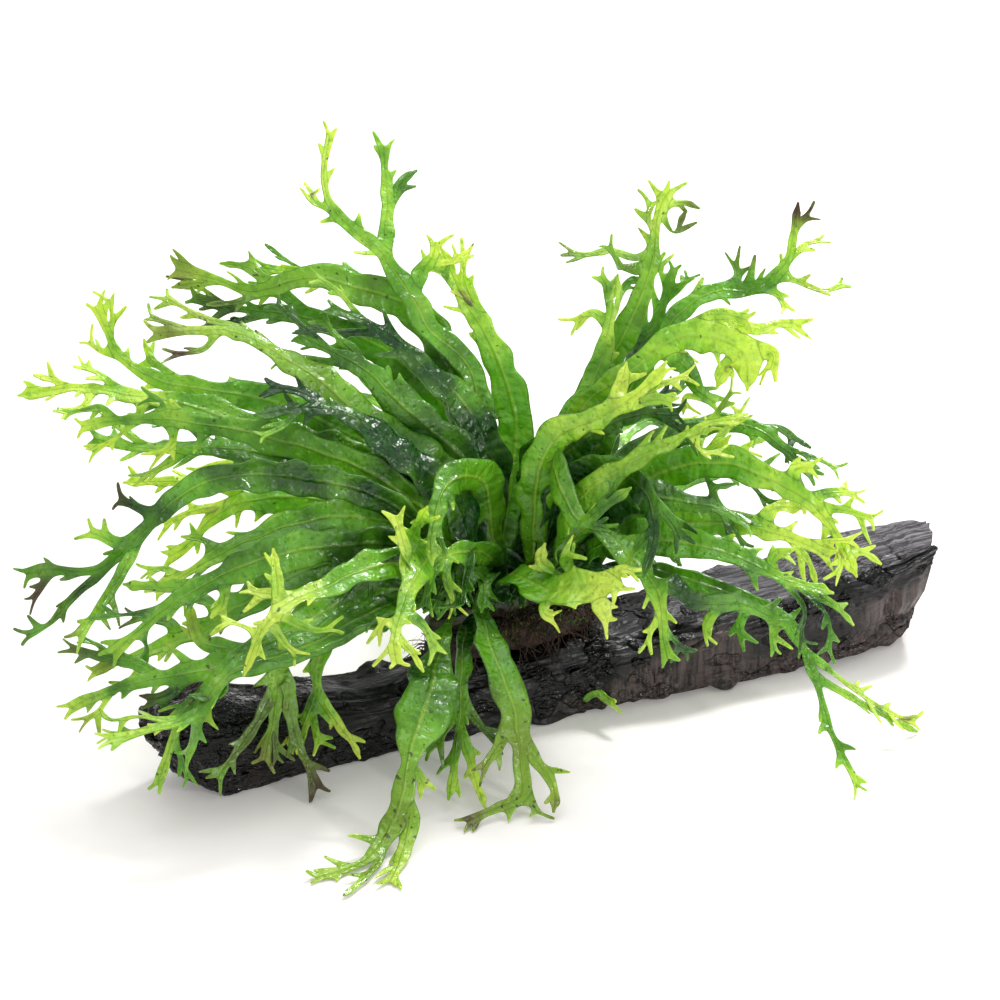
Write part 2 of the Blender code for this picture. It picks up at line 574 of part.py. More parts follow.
def rhizome_line():
    return smooth([Vector((x, y, RHIZOME_HEIGHT + z)) for x, y, z in RHIZOME_ROUTE])


def rhizome_at(place):
    line = rhizome_line()
    for a, b in zip(line, line[1:]):
        if place <= b.x:
            return a.lerp(b, (place - a.x) / (b.x - a.x))
    return line[-1]


def make_rhizome(home, look):
    curve = bpy.data.curves.new("rhizome", "CURVE")
    curve.dimensions = "3D"
    curve.bevel_depth = RHIZOME_RADIUS * MM
    curve.bevel_resolution = 2
    curve.use_fill_caps = True
    line = rhizome_line()[::3]
    spline = curve.splines.new("POLY")
    spline.points.add(len(line) - 1)
    for i, point in enumerate(line):
        spline.points[i].co = (*(point * MM), 1)
        end = min(i, len(line) - 1 - i)
        spline.points[i].radius = 0.6 if end == 0 else 0.92 + 0.08 * cos(1.9 * i)
    curve.materials.append(look)
    rhizome = bpy.data.objects.new("rhizome", curve)
    home.objects.link(rhizome)
    return rhizome


def make_root_mat(home, look, wood):
    """The felt of roots between the log and the rhizome, laid onto the one and hollowed for the other."""
    bm = bmesh.new()
    bmesh.ops.create_uvsphere(bm, u_segments=20, v_segments=8, radius=1)
    for vert in bm.verts:
        x, y, z = vert.co
        wave = 1 + 0.12 * noise.noise(Vector((2 * x, 3 * y, 5)))
        place = Vector((x * ROOT_MAT_HALF_LENGTH * wave + 1.5, y * ROOT_MAT_HALF_DEPTH * wave - 0.5, 0))
        ground = wood.top_at(place.x, place.y)
        stem = rhizome_at(place.x)
        off = place.y - stem.y
        room = RHIZOME_RADIUS + GAP + 0.15
        crest = ROOT_MAT_CREST + noise.noise(Vector((x * 4, y * 4, 1)))
        if abs(off) < room:
            crest = min(crest, stem.z - sqrt(room * room - off * off))
        low = ground + GAP
        high = max(low + 0.6, crest)
        rise = (z + 1) / 2
        vert.co = Vector((place.x, place.y, low + rise * (high - low) * (1 if z > 0 else rise))) * MM
    bmesh.ops.recalc_face_normals(bm, faces=bm.faces)
    mesh = bpy.data.meshes.new("root_mat")
    bm.to_mesh(mesh)
    bm.free()
    return add_piece("root_mat", mesh, home, look)


# The fronds --------------------------------------------------------------------------------------

def cut_both_ways(face):
    """The triangles of a face, for a four-sided one along both of its diagonals."""
    if len(face) != 4:
        return [(face[0], b, c) for b, c in zip(face[1:], face[2:])]
    a, b, c, d = face
    return [(a, b, c), (a, c, d), (a, b, d), (b, c, d)]


BOX_SIDES = ((0, 1, 2, 3), (7, 6, 5, 4), (0, 4, 5, 1), (1, 5, 6, 2), (2, 6, 7, 3), (3, 7, 4, 0))
BOX_FACES = [triangle for side in BOX_SIDES for triangle in cut_both_ways(side)]


def stretch_box(row, ahead, clearance):
    """The corners of a box round the stretch of a blade between two of its rows."""
    run = (ahead[0] + ahead[1] - row[0] - row[1]) / 2
    normal = (row[1] - row[0] + ahead[1] - ahead[0]).cross(run)
    normal = normal.normalized() * (FROND_THICKNESS / 2 + clearance)
    low = (row[1] - row[0]).normalized() * clearance
    high = (ahead[1] - ahead[0]).normalized() * clearance
    outline = (row[0] - low, row[1] + low, ahead[1] + high, ahead[0] - high)
    return [corner + normal for corner in outline] + [corner - normal for corner in outline]


class Neighbours:
    """Everything that a new strip has to stay clear of, in mm."""

    def __init__(self):
        self.corners = []
        self.faces = []
        self.tree = None

    def add_faces(self, corners, faces):
        start = len(self.corners)
        self.corners += corners
        self.faces += [tuple(start + i for i in face) for face in faces]
        self.tree = None

    def add_piece(self, piece):
        bpy.context.view_layer.update()
        graph = bpy.context.evaluated_depsgraph_get()
        mesh = piece.evaluated_get(graph).to_mesh()
        triangles = [cut for face in mesh.polygons for cut in cut_both_ways(list(face.vertices))]
        self.add_faces([piece.matrix_world @ v.co / MM for v in mesh.vertices], triangles)

    def find(self):
        if self.tree is None:
            self.tree = BVHTree.FromPolygons(self.corners, self.faces)
        return self.tree

    def top_at(self, x, y):
        return self.find().ray_cast(Vector((x, y, 100)), Vector((0, 0, -1)))[0].z

    def touch(self, box):
        return bool(self.faces) and bool(self.find().overlap(BVHTree.FromPolygons(box, BOX_FACES)))


def on_ground(point):
    """A point of the viewer's frame in the log's frame, no lower than the ground lets it lie."""
    placed = to_world(point)
    placed.z = max(placed.z, GROUND_CLEARANCE)
    return placed


def on_ground_all(points):
    return [on_ground(point) for point in points]


def clear_way(neighbours, own, rows, reach):
    """How far each row has to bend nearer so that the strip passes its neighbours, at least effort.

    It passes the frond's own stretches too. Returns the bends in mm and how many stretches still touch
    something.
    """
    placed = {}

    def blocked(low, high):
        return (neighbours.touch(stretch_box(low, high, GAP))
                or own.touch(stretch_box(low, high, OWN_CLEARANCE)))

    def row_at(i, level):
        if (i, level) not in placed:
            bend = Vector((0, 0, BEND_STEP * level))
            placed[i, level] = tuple(on_ground(corner + bend) for corner in rows[i])
        return placed[i, level]

    queue = [(0, 0, 0)]
    efforts = {(0, 0): 0}
    came_from = {}
    done = set()
    while queue:
        effort, i, level = heappop(queue)
        if (i, level) in done:
            continue
        done.add((i, level))
        if i == len(rows) - 1:
            break
        run = reach[i + 1] - reach[i]
        steps = max(1, int(STEEPEST_BEND * run / BEND_STEP))
        for ahead in range(max(-MOST_STEPS, level - steps), min(MOST_STEPS, level + steps) + 1):
            bend = BEND_STEP * (ahead - level)
            reached = effort + 0.01 * run * abs(BEND_STEP * ahead) + 2 * bend * bend / run
            if blocked(row_at(i, level), row_at(i + 1, ahead)):
                reached += BLOCKED
            if reached < efforts.get((i + 1, ahead), 1e9):
                efforts[i + 1, ahead] = reached
                came_from[i + 1, ahead] = level
                heappush(queue, (reached, i + 1, ahead))
    bends = []
    while i:
        bends.append(BEND_STEP * level)
        level = came_from[i, level]
        i -= 1
    return [0, *reversed(bends)], int(effort // BLOCKED)


def blade_width(share, width):
    """A stalk, a long lance-shaped blade and a narrow neck where the last forks part."""
    outline = ((0, STALK_WIDTH), (0.1, STALK_WIDTH), (0.36, width), (0.6, width),
               (0.88, NECK_SHARE * width), (1, TIP_WIDTH))
    return table_value(outline, 1, share)


def fork_width(share, root):
    return root + (TIP_WIDTH - root) * share ** 1.3


def add_row(bm, pair, corners):
    """Extrudes the strip's open edge, given as its two ends, to a new place."""
    made = bmesh.ops.extrude_edge_only(bm, edges=[bm.edges.get(pair)])["geom"]
    ends = [item for item in made if isinstance(item, bmesh.types.BMVert)]
    ahead = [next(v for v in ends if any(e.other_vert(v) is old for e in v.link_edges)) for old in pair]
    for vert, corner in zip(ahead, corners):
        vert.co = corner
    return tuple(ahead)


def full_points(points, start, curl, bend):
    """Gives the near value that a fork's points leave out: it curls on from where the fork leaves."""
    made = []
    for point in points:
        if len(point) == 2:
            run = hypot(point[0] - start.x, point[1] - start.y)
            point = (*point, start.z + curl * run)
        else:
            point = (point[0], point[1], point[2] + bend)
        made.append(Vector(point))
    return made


def fork_stations(midrib, forks, spacing):
    """Where a strip's rows go: evenly, with a pair of rows for each fork to leave between."""
    count = max(2, round(midrib.length / spacing))
    stations = [midrib.length * (i + 1) / count for i in range(count)]
    for fork in forks:
        leaves = min(midrib.reach_of(fork[0]), midrib.length - FORK_OPENING)
        low, high = leaves - FORK_OPENING, leaves + FORK_OPENING
        stations = [s for s in stations if s <= low - 2.2 or s >= high + 2.2 or s == midrib.length]
        stations += [s for s in (low, high) if 1.2 < s < midrib.length - 0.8
                     and all(abs(s - t) > 1.1 for t in stations)]
    return sorted(stations)


class Strip:
    """Where a strip's rows go between its neighbours, from the two ends that it grows from.

    A fork also has a lead, the way that it sets out.
    """

    def __init__(self, neighbours, own, ends, points, forks, roll, width_at, spacing, lead):
        self.midrib = Midrib(points, roll)
        self.reach = [0, *fork_stations(self.midrib, forks, spacing)]
        self.widths = [width_at(station / self.midrib.length) for station in self.reach]
        self.turned = (ends[1] - ends[0]).dot(self.midrib.at(0)[1]) < 0
        rows = [ends[::-1] if self.turned else ends]
        for station, width in zip(self.reach[1:], self.widths[1:]):
            middle, across = self.midrib.at(station)
            rows.append((middle - across * width / 2, middle + across * width / 2))
        self.bends, self.touching = clear_way(neighbours, own, rows, self.reach)
        self.rows = [tuple(corner + Vector((0, 0, bend)) for corner in row)
                     for row, bend in zip(rows, self.bends)]
        runs = [(b[0] + b[1] - a[0] - a[1]).normalized() for a, b in zip(self.rows, self.rows[1:])]
        sides = [(row[1] - row[0]).normalized() for row in self.rows]
        self.touching += sum(a.dot(b) < SHARPEST_TWIST for a, b in zip(sides, sides[1:]))
        if lead is not None:
            runs.insert(0, lead)
        self.touching += sum(a.dot(b) < SHARPEST_FOLD for a, b in zip(runs, runs[1:]))


def grow_strip(bm, neighbours, own, pair, ways, forks, roll, width_at, spacing, lead=None):
    """Grows a strip from an edge, the first way that is clear, and then its forks.

    Returns how much of it touches something, with a little for each fork that is left out because no
    way of it is clear.
    """
    best = None
    ends = (pair[0].co.copy(), pair[1].co.copy())
    for points in ways:
        strip = Strip(neighbours, own, ends, points, forks, roll, width_at, spacing, lead)
        if best is None or strip.touching < best.touching:
            best = strip
        if not best.touching:
            break
    if best.touching and lead is not None:
        bm.verts.remove(pair[0])
        bm.verts.remove(pair[1])
        return NO_ROOM
    pairs = [pair[::-1] if best.turned else pair]
    for row in best.rows[1:]:
        pairs.append(add_row(bm, pairs[-1], row))
    for row, ahead in zip(best.rows, best.rows[1:]):
        own.add_faces(stretch_box(on_ground_all(row), on_ground_all(ahead), OWN_CLEARANCE), BOX_FACES)
    touching = best.touching
    reach = best.reach
    for number, (count, fork_route, *smaller) in enumerate(forks):
        leaves = best.midrib.reach_of(count)
        middle, across = best.midrib.at(leaves)
        nearest = min(range(len(reach)), key=lambda i: abs(reach[i] - leaves))
        middle = middle + Vector((0, 0, best.bends[nearest]))
        curl = CURL if number % 2 else -CURL
        fork_points = full_points(fork_route, middle, curl, best.bends[nearest])
        side = 1 if (fork_points[0] - middle).dot(across) > 0 else 0
        free = []
        for i in range(len(pairs) - 1):
            edge = bm.edges.get((pairs[i][side], pairs[i + 1][side]))
            if edge is not None and edge.is_boundary:
                free.append((abs((reach[i] + reach[i + 1]) / 2 - leaves), i))
        i = min(free)[1]
        low, high = pairs[i][side], pairs[i + 1][side]
        inner = (pairs[i][1 - side].co + pairs[i + 1][1 - side].co) / 2
        start = (low.co + high.co) / 2
        along = (high.co - low.co).normalized()
        outward = start - inner
        outward = (outward - outward.dot(along) * along).normalized()
        collar = [start.lerp(corner.co, COLLAR_SHARE) + outward * COLLAR for corner in (low, high)]
        if neighbours.touch(stretch_box(on_ground_all((low.co, high.co)), on_ground_all(collar), GAP)):
            touching += NO_ROOM
            continue
        root = min(0.6 * best.widths[i], 1.8 * FORK_OPENING)
        start = start + outward * COLLAR
        short = max(0, LEAST_LEAD - (fork_points[0] - start).dot(outward))
        fork_ways = []
        for push in [short + more for more in FORK_PUSHES]:
            pushed = [point + outward * push * (1 - n / len(fork_points))
                      for n, point in enumerate(fork_points)]
            fork_ways.append([start, *pushed])
        touching += grow_strip(bm, neighbours, own, add_row(bm, (low, high), collar), fork_ways,
                               smaller[0] if smaller else (), roll,
                               lambda share, root=root: fork_width(share, root), FORK_ROW_SPACING,
                               outward)
    return touching


def frond_sheet(row, neighbours, slip, swing, turn):
    """A frond as an open sheet, in mm, and how many stretches of it touch something."""
    _, seat, width, roll, _, route, forks = row
    bm = bmesh.new()
    if seat is None:
        points = list(route)
    else:
        stem = rhizome_at(seat + slip)
        away = to_world(route[0]) - stem
        away.x *= 0.5
        away.z = max(away.z, -0.1 * hypot(away.x, away.y))
        away = Matrix.Rotation(radians(swing), 3, "X") @ away.normalized()
        foot = to_viewer(stem + away * (RHIZOME_RADIUS + 1.3 * GAP))
        points = [foot, to_viewer(stem + away * (RHIZOME_RADIUS + STALK_RISE)), *route]
        forks = tuple((count + 1, *rest) for count, *rest in forks)
    middle, across = Midrib(points, roll + turn).at(0)
    half = across * STALK_WIDTH / 2
    pair = (bm.verts.new(middle - half), bm.verts.new(middle + half))
    bm.edges.new(pair)
    touching = grow_strip(bm, neighbours, Neighbours(), pair, [points], forks, roll + turn,
                          lambda share: blade_width(share, width), BLADE_ROW_SPACING)
    for vert in bm.verts:
        vert.co = on_ground(vert.co) * MM
    bm.normal_update()
    return bm, touching


def leaf_colour(tone):
    return tuple(dark + tone * (young - dark) for dark, young in zip(DEEP_GREEN, YOUNG_GREEN))


def make_frond(row, home, neighbours):
    """Grows a frond, trying other places for its foot and other rolls until it is clear."""
    name, tone = row[0], row[4]
    fewest = None
    ways = [(slip, swing, turn) for slip in SLIPS for swing in SWINGS for turn in ROLLS]
    ways.sort(key=lambda way: abs(way[0]) + abs(way[1]) / 12 + abs(way[2]) / 12)
    for tried, way in enumerate(ways):
        bm, touching = frond_sheet(row, neighbours, *way)
        if fewest is None or touching < fewest:
            fewest = touching
            mesh = bpy.data.meshes.new(name)
            bm.to_mesh(mesh)
        bm.free()
        if not touching or (touching < 1 and tried > MOST_WAYS):
            break
    frond = add_piece(name, mesh, home, material(name + "_leaf", leaf_colour(tone), 0.35))
    thick = frond.modifiers.new("thickness", "SOLIDIFY")
    thick.thickness = FROND_THICKNESS * MM
    thick.offset = 0
    neighbours.add_piece(frond)


def main():
    clear_scene()
    home = collection("java_fern_on_driftwood")
    log = make_log(home, material("wet_driftwood", (0.035, 0.028, 0.027), 0.35))
    rhizome = make_rhizome(home, material("rhizome_skin", (0.10, 0.09, 0.03), 0.6))
    neighbours = Neighbours()
    neighbours.add_piece(log)
    root_mat = make_root_mat(home, material("root_felt", (0.07, 0.04, 0.02), 0.8), neighbours)
    neighbours.add_piece(rhizome)
    neighbours.add_piece(root_mat)
    for row in FRONDS:
        make_frond(row, home, neighbours)


main()
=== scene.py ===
"""A java fern with laced tips on a driftwood log: fine surface, finishes, lights and camera.

Metres, +Z up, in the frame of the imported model.
"""

import random
from math import cos, hypot, pi, radians, sin

import bmesh
import bpy
from mathutils import Matrix, Vector, noise
from mathutils.bvhtree import BVHTree


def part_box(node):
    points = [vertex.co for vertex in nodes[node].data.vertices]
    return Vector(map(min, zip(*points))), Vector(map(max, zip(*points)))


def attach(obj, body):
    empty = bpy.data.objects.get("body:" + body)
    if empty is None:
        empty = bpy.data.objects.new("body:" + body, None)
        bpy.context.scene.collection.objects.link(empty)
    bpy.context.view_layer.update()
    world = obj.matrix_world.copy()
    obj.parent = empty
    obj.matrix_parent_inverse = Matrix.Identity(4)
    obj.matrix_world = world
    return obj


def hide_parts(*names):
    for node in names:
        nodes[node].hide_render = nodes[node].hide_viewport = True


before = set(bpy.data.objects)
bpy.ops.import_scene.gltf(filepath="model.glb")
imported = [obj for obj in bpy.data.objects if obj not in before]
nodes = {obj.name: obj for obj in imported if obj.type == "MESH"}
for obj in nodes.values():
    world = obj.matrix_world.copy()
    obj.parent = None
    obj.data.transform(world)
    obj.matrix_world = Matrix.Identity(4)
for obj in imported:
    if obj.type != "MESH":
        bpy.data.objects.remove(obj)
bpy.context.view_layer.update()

MM = 0.001


# The driftwood log -------------------------------------------------------------------------------
# One broken-off branch of waterlogged hardwood, near black, with its grain raised along it by years
# in water. It is soaking wet, so its ridges glint, and its lower faces are worn to a red brown. On
# its right middle that brown is held back as painted shade, and the top of its right end carries a
# painted pale sheen.

LOG_SECTIONS = (
    (-99.5, -6.5, 4, 8, 21),
    (-97.5, -10, 8, 6, 23.5),
    (-91, -12.5, 9, 3, 24),
    (-84, -13, 10, 0, 24),
    (-62, -12, 9.5, 0, 20.5),
    (-40, -11, 9, 0, 17),
    (-18, -12.5, 9, 0, 17.5),
    (0, -15, 10, 0, 18.5),
    (16, -15.2, 10.5, 0, 19),
    (24, -18.3, 10, 0, 19.5),
    (45, -21.2, 8.5, 0, 20.5),
    (70, -22.4, 7, 0, 22),
    (88, -24, 5, 0, 24),
    (101, -23, 0.5, 1.5, 25.5),
    (107, -22, -3, 3, 26.5),
    (111, -20.5, -6, 4.5, 26.5),
)
LOG_RINGS = 330
LOG_RING_POINTS = 132
LOG_SQUARENESS = 4.2
SQUARER_PAST = 80
SQUARER_BY = 0.12
LEDGE_PAST = 62
LEDGE_FADE = 14
LEDGE_HEIGHT = 11.3
BROKEN_END = 0.1
END_RINGS = (0.82, 0.6, 0.36, 0.14)
BELLY_CUT = 1.0

# Knots and lumps: place along the log, angle round it in degrees, height in mm and reach in mm.
KNOTS = (
    (52, 216, 2.4, 4.2),
    (74, 196, -1.6, 2.4),
    (78, 205, 1.8, 3.4),
    (-62, 168, 1.8, 7),
    (-84, 150, 1.6, 8),
    (-90, 196, 1.5, 6),
    (-34, 60, 1.8, 5),
    (4, 214, 1.4, 5),
    (24, 218, -2.0, 5),
    (34, 212, 1.2, 4),
    (12, 190, -0.8, 4),
    (92, 150, 1.0, 8),
)

# Splits along the grain: from and to along the log, from and to round it in degrees (0 is the back,
# 90 the top, 180 the front), depth in mm and half width in degrees.
SPLITS = (
    (66, 113, 196, 186, 1.6, 2.2),
    (12, 52, 232, 142, 1.9, 3.0),
    (-96, -30, 176, 166, 0.7, 2.0),
    (-70, 20, 152, 158, 0.8, 1.8),
    (-20, 46, 206, 200, 0.8, 2.0),
    (20, 112, 118, 112, 0.8, 1.5),
    (40, 112, 84, 92, 0.7, 1.5),
    (-92, -40, 60, 66, 0.9, 2.4),
    (-40, 70, 20, 12, 0.9, 2.4),
    (-90, 90, -14, -6, 0.9, 2.4),
)


def table_value(table, column, place):
    """A column of a table at a place between two of its rows, which the first column counts."""
    for low, high in zip(table, table[1:]):
        if place <= high[0]:
            share = (place - low[0]) / (high[0] - low[0])
            share = share * share * (3 - 2 * share)
            return low[column] + share * (high[column] - low[column])
    return table[-1][column]


def clamped(value):
    return min(1, max(0, value))


def degrees_off(angle, line):
    """How far an angle in radians lies from one in degrees, between -180 and 180."""
    return (angle * 180 / pi - line + 180) % 360 - 180


def split_depth(place, angle):
    """How deep the splits cut at a point of the skin."""
    depth = 0
    for start, end, low, high, deep, wide in SPLITS:
        if start < place < end:
            share = (place - start) / (end - start)
            line = low + (high - low) * share + 5 * noise.noise(Vector((place / 9, deep, 0)))
            off = degrees_off(angle, line)
            depth += deep * max(0, 1 - (off / wide) ** 2) * min(1, 6 * share, 6 * (1 - share))
    return depth


def log_point(place, angle):
    """A point of the log's skin: squarish sections, lumps, raised grain, splits and worn chips."""
    front, back, under, top = (table_value(LOG_SECTIONS, i, place) for i in (1, 2, 3, 4))
    c, s = cos(angle), sin(angle)
    squared = 2 / (LOG_SQUARENESS + max(0, place - SQUARER_PAST) * SQUARER_BY)
    y = (back + front) / 2 + (back - front) / 2 * abs(c) ** squared * (1 if c > 0 else -1)
    z = (top + under) / 2 + (top - under) / 2 * abs(s) ** squared * (1 if s > 0 else -1)

    def lumps(long, fine, shift=0, turn=0):
        """Noise that runs some mm along the log and gets finer round it."""
        return noise.noise(Vector((place / long + shift, fine * c, fine * s + turn)))

    out = 1.7 * lumps(21, 1.6, turn=4)
    out += 1.2 * lumps(34, 3.6, 9)
    out += 0.5 * (0.5 - 2 * abs(lumps(22, 7)))
    out += 0.4 * lumps(13, 18)
    upper = max(0, s) * clamped((place + 30) / 60)
    out += (0.15 + 0.4 * upper) * (0.4 - abs(lumps(15, 30)) * 2)
    pitted = max(0, lumps(12, 2, 70) + (0.5 if place < -78 else 0))
    out += (0.15 + 1.1 * pitted) * lumps(2.2, 9)
    out += 1.8 * pitted * lumps(5, 3.5, turn=8)
    chip = lumps(8, 4, 40)
    out -= 1.1 * max(0, chip - 0.28) / 0.3
    out -= split_depth(place, angle) + 0.2
    for at, toward, rise, reach in KNOTS:
        turned = degrees_off(angle, toward)
        out += rise * max(0, 1 - ((place - at) ** 2 + (turned * 0.24) ** 2) / reach ** 2)
    ledge = clamped((place - LEDGE_PAST) / LEDGE_FADE) * max(0, -c)
    step = clamped((z - LEDGE_HEIGHT - (place - 90) * 0.05) / 0.6)
    out += ledge * (2.2 * step - 1.3)
    return Vector((place, y + out * c, max(z + out * s - BELLY_CUT, 0)))


def ring_edges(bm, ring):
    return [bm.edges.get((a, b)) for a, b in zip(ring, ring[1:] + ring[:1])]


def new_verts(made):
    return [item for item in made if isinstance(item, bmesh.types.BMVert)]


def drawn_out(bm, edges, row):
    """Extrudes edges, and gives the new points in the order of the old ones."""
    fresh = set(new_verts(bmesh.ops.extrude_edge_only(bm, edges=edges)["geom"]))
    return [next(e.other_vert(v) for e in v.link_edges if e.other_vert(v) in fresh) for v in row]


def make_log():
    """Rings of points drawn out along the log, each end closed by a rough broken face."""
    bm = bmesh.new()
    first, last = LOG_SECTIONS[0][0], LOG_SECTIONS[-1][0]
    ring = bmesh.ops.create_circle(bm, cap_ends=False, radius=1, segments=LOG_RING_POINTS)["verts"]
    ends = []
    for i in range(LOG_RINGS):
        share = i / (LOG_RINGS - 1)
        place = first + (last - first) * (share - 0.035 * sin(2 * pi * share))
        if i:
            ring = drawn_out(bm, ring_edges(bm, ring), ring)
        for j, vert in enumerate(ring):
            angle = 2 * pi * j / LOG_RING_POINTS
            point = log_point(place, angle)
            nearness = (max(0, share - (1 - BROKEN_END)) - max(0, BROKEN_END - share)) / BROKEN_END
            swing = noise.noise(Vector((2.2 * cos(angle), 2.2 * sin(angle), 7 * share)))
            splinter = noise.noise(Vector((6 * cos(angle), 6 * sin(angle), 3)))
            if share > 0.5:
                lean = 0.33 * (point.z - 12) + 0.4 * (point.y + 13)
            else:
                lean = -0.7 * max(0, 14 - point.z)
            point.x += nearness * (lean + 1.5 * swing - 0.8 * abs(splinter))
            vert.co = point * MM
        if i in (0, LOG_RINGS - 1):
            ends.append(ring_edges(bm, ring))
    for number, rim in enumerate(ends):
        for shrink in END_RINGS:
            made = bmesh.ops.extrude_edge_only(bm, edges=rim)["geom"]
            verts = new_verts(made)
            rim = [e for e in made if isinstance(e, bmesh.types.BMEdge)]
            middle = sum((v.co for v in verts), Vector()) / len(verts)
            for vert in verts:
                vert.co = middle + (vert.co - middle) * shrink
                rough = noise.noise(vert.co * 420) + 0.6 * noise.noise(vert.co * 1100)
                vert.co.x += (1 if number else -1) * (0.0007 * rough - 0.0003)
        bmesh.ops.contextual_create(bm, geom=rim)
    bmesh.ops.recalc_face_normals(bm, faces=bm.faces)
    mesh = bpy.data.meshes.new("wet_log")
    bm.to_mesh(mesh)
    bm.free()
    mesh.shade_smooth()
    return mesh


class Wire:
    """A socket in a finish. Sums of wires and numbers add their Math nodes."""

    def __init__(self, finish, socket):
        self.finish = finish
        self.socket = socket

    def sum(self, kind, first, second=0.0):
        return self.finish.node("ShaderNodeMath", {"operation": kind}, {0: first, 1: second})

    def __add__(self, other):
        return self.sum("ADD", self, other)

    def __sub__(self, other):
        return self.sum("SUBTRACT", self, other)

    def __rsub__(self, other):
        return self.sum("SUBTRACT", other, self)

    def __mul__(self, other):
        return self.sum("MULTIPLY", self, other)

    def __pow__(self, other):
        return self.sum("POWER", self, other)

    __radd__ = __add__
    __rmul__ = __mul__

    def sine(self):
        return self.sum("SINE", self)

    def from_to(self, low, high):
        """0 below low and 1 above high, with a soft step between them."""
        return self.finish.node("ShaderNodeMapRange", {"interpolation_type": "SMOOTHSTEP"},
                                {0: self, 1: low, 2: high})


class Finish:
    """A material that is put together node by node."""

    def __init__(self, name):
        self.material = bpy.data.materials.new(name)
        self.material.use_nodes = True
        self.tree = self.material.node_tree
        self.shader = self.tree.nodes["Principled BSDF"]

    def feed(self, socket, value):
        if isinstance(value, Wire):
            self.tree.links.new(value.socket, socket)
        else:
            socket.default_value = value

    def node(self, kind, settings, sockets, out=0):
        made = self.tree.nodes.new(kind)
        for setting, value in settings.items():
            setattr(made, setting, value)
        for socket, value in sockets.items():
            self.feed(made.inputs[socket], value)
        return Wire(self, made.outputs[out])

    def mix(self, amount, low, high):
        """A colour between two others."""
        return self.node("ShaderNodeMix", {"data_type": "RGBA"}, {0: amount, 6: low, 7: high}, 2)

    def place(self, stretch=(1, 1, 1)):
        """Object coordinates in metres, stretched."""
        own = self.node("ShaderNodeTexCoord", {}, {}, 3)
        return self.node("ShaderNodeMapping", {}, {"Vector": own, "Scale": stretch})

    def speckle(self, where, scale, detail=2.0, rough=0.5):
        return self.node("ShaderNodeTexNoise", {},
                         {"Vector": where, "Scale": scale, "Detail": detail, "Roughness": rough})

    def axis(self, number):
        own = self.node("ShaderNodeTexCoord", {}, {}, 3)
        return self.node("ShaderNodeSeparateXYZ", {}, {0: own}, number)

    def mark(self, name):
        """A value that the piece's own mesh carries."""
        return self.node("ShaderNodeAttribute", {"attribute_name": name}, {}, 2)

    def raised(self, height, strength, distance):
        """Lets a height shape the light on the surface."""
        bump = self.node("ShaderNodeBump", {}, {"Height": height, "Strength": strength,
                                                "Distance": distance})
        self.feed(self.shader.inputs["Normal"], bump)

    def shade(self, **sockets):
        for socket, value in sockets.items():
            self.feed(self.shader.inputs[socket.replace("_", " ")], value)


def wet_wood():
    wood = Finish("wet_driftwood")
    grain = wood.speckle(wood.place((14, 330, 330)), 1.0, 4.0, 0.6)
    strands = wood.speckle(wood.place((24, 1250, 1250)), 1.0, 4.0, 0.7)
    upright = wood.speckle(wood.place((900, 900, 70)), 1.0, 3.0, 0.6)
    grit = wood.speckle(wood.place((520, 900, 900)), 1.0, 1.0, 0.4)
    patches = wood.speckle(wood.place(), 45.0, 3.0)
    along, across, height = (wood.axis(number) for number in (0, 1, 2))
    left_end = 1 - along.from_to(-0.080, -0.050)
    pitted = (left_end + wood.speckle(wood.place(), 95.0, 2.0).from_to(0.52, 0.6)).from_to(0.0, 1.0)
    above = height - 0.013 * along.from_to(0.0, 0.05) + 0.006 * patches - 0.008
    worn = 1 - above.from_to(-0.0015, 0.0015)
    # Painted shade: from about 52 to 96 mm along, above the lowest few mm, the red-brown wear is held back,
    # so the front stays near black there.
    dark = along.from_to(0.052, 0.062) * (1 - along.from_to(0.082, 0.096)) * height.from_to(0.004, 0.009)
    worn = worn * along.from_to(0.0, 0.03) * (1 - 0.9 * dark)
    # top: the top face of the right end, where a painted sheen goes.
    top = height.from_to(0.0165, 0.022) * along.from_to(0.03, 0.085) * across.from_to(-0.021, -0.015)
    colour = wood.mix(grain.from_to(0.38, 0.7), (0.0016, 0.0016, 0.0020, 1), (0.006, 0.005, 0.005, 1))
    colour = wood.mix(worn * upright.from_to(0.32, 0.62) * 0.9, colour, (0.085, 0.060, 0.056, 1))
    colour = wood.mix(left_end * patches.from_to(0.5, 0.66) * 0.35, colour, (0.07, 0.030, 0.014, 1))
    # Painted sheen: a pale grey-lilac on the grain streaks of that top face stands in for the light it
    # reflects.
    sheen_streaks = (strands * 0.7 + grain * 0.3).from_to(0.45, 0.58)
    colour = wood.mix(top * (0.15 + 0.85 * sheen_streaks), colour, (0.26, 0.24, 0.27, 1))
    wood.shade(Base_Color=colour, Roughness=0.28 - 0.17 * pitted - 0.12 * top, Specular_IOR_Level=0.34)
    ridges = grain * 0.45 + strands * (0.2 + top * 0.6) + upright * worn * 0.2
    wood.raised(ridges + grit * (0.35 + pitted * 1.7), 1.0, 0.0011)
    return wood.material


def placed(name, data):
    thing = bpy.data.objects.new(name, data)
    bpy.context.scene.collection.objects.link(thing)
    return thing


log = placed("driftwood_log", make_log())
log.data.materials.append(wet_wood())
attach(log, "root")
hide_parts("driftwood")


# The rhizome -------------------------------------------------------------------------------------
# The creeping stem that lies along the log. It is brown green, wrapped in small dark scales, with the
# stubs of old stalks on it. It is held by its own roots.

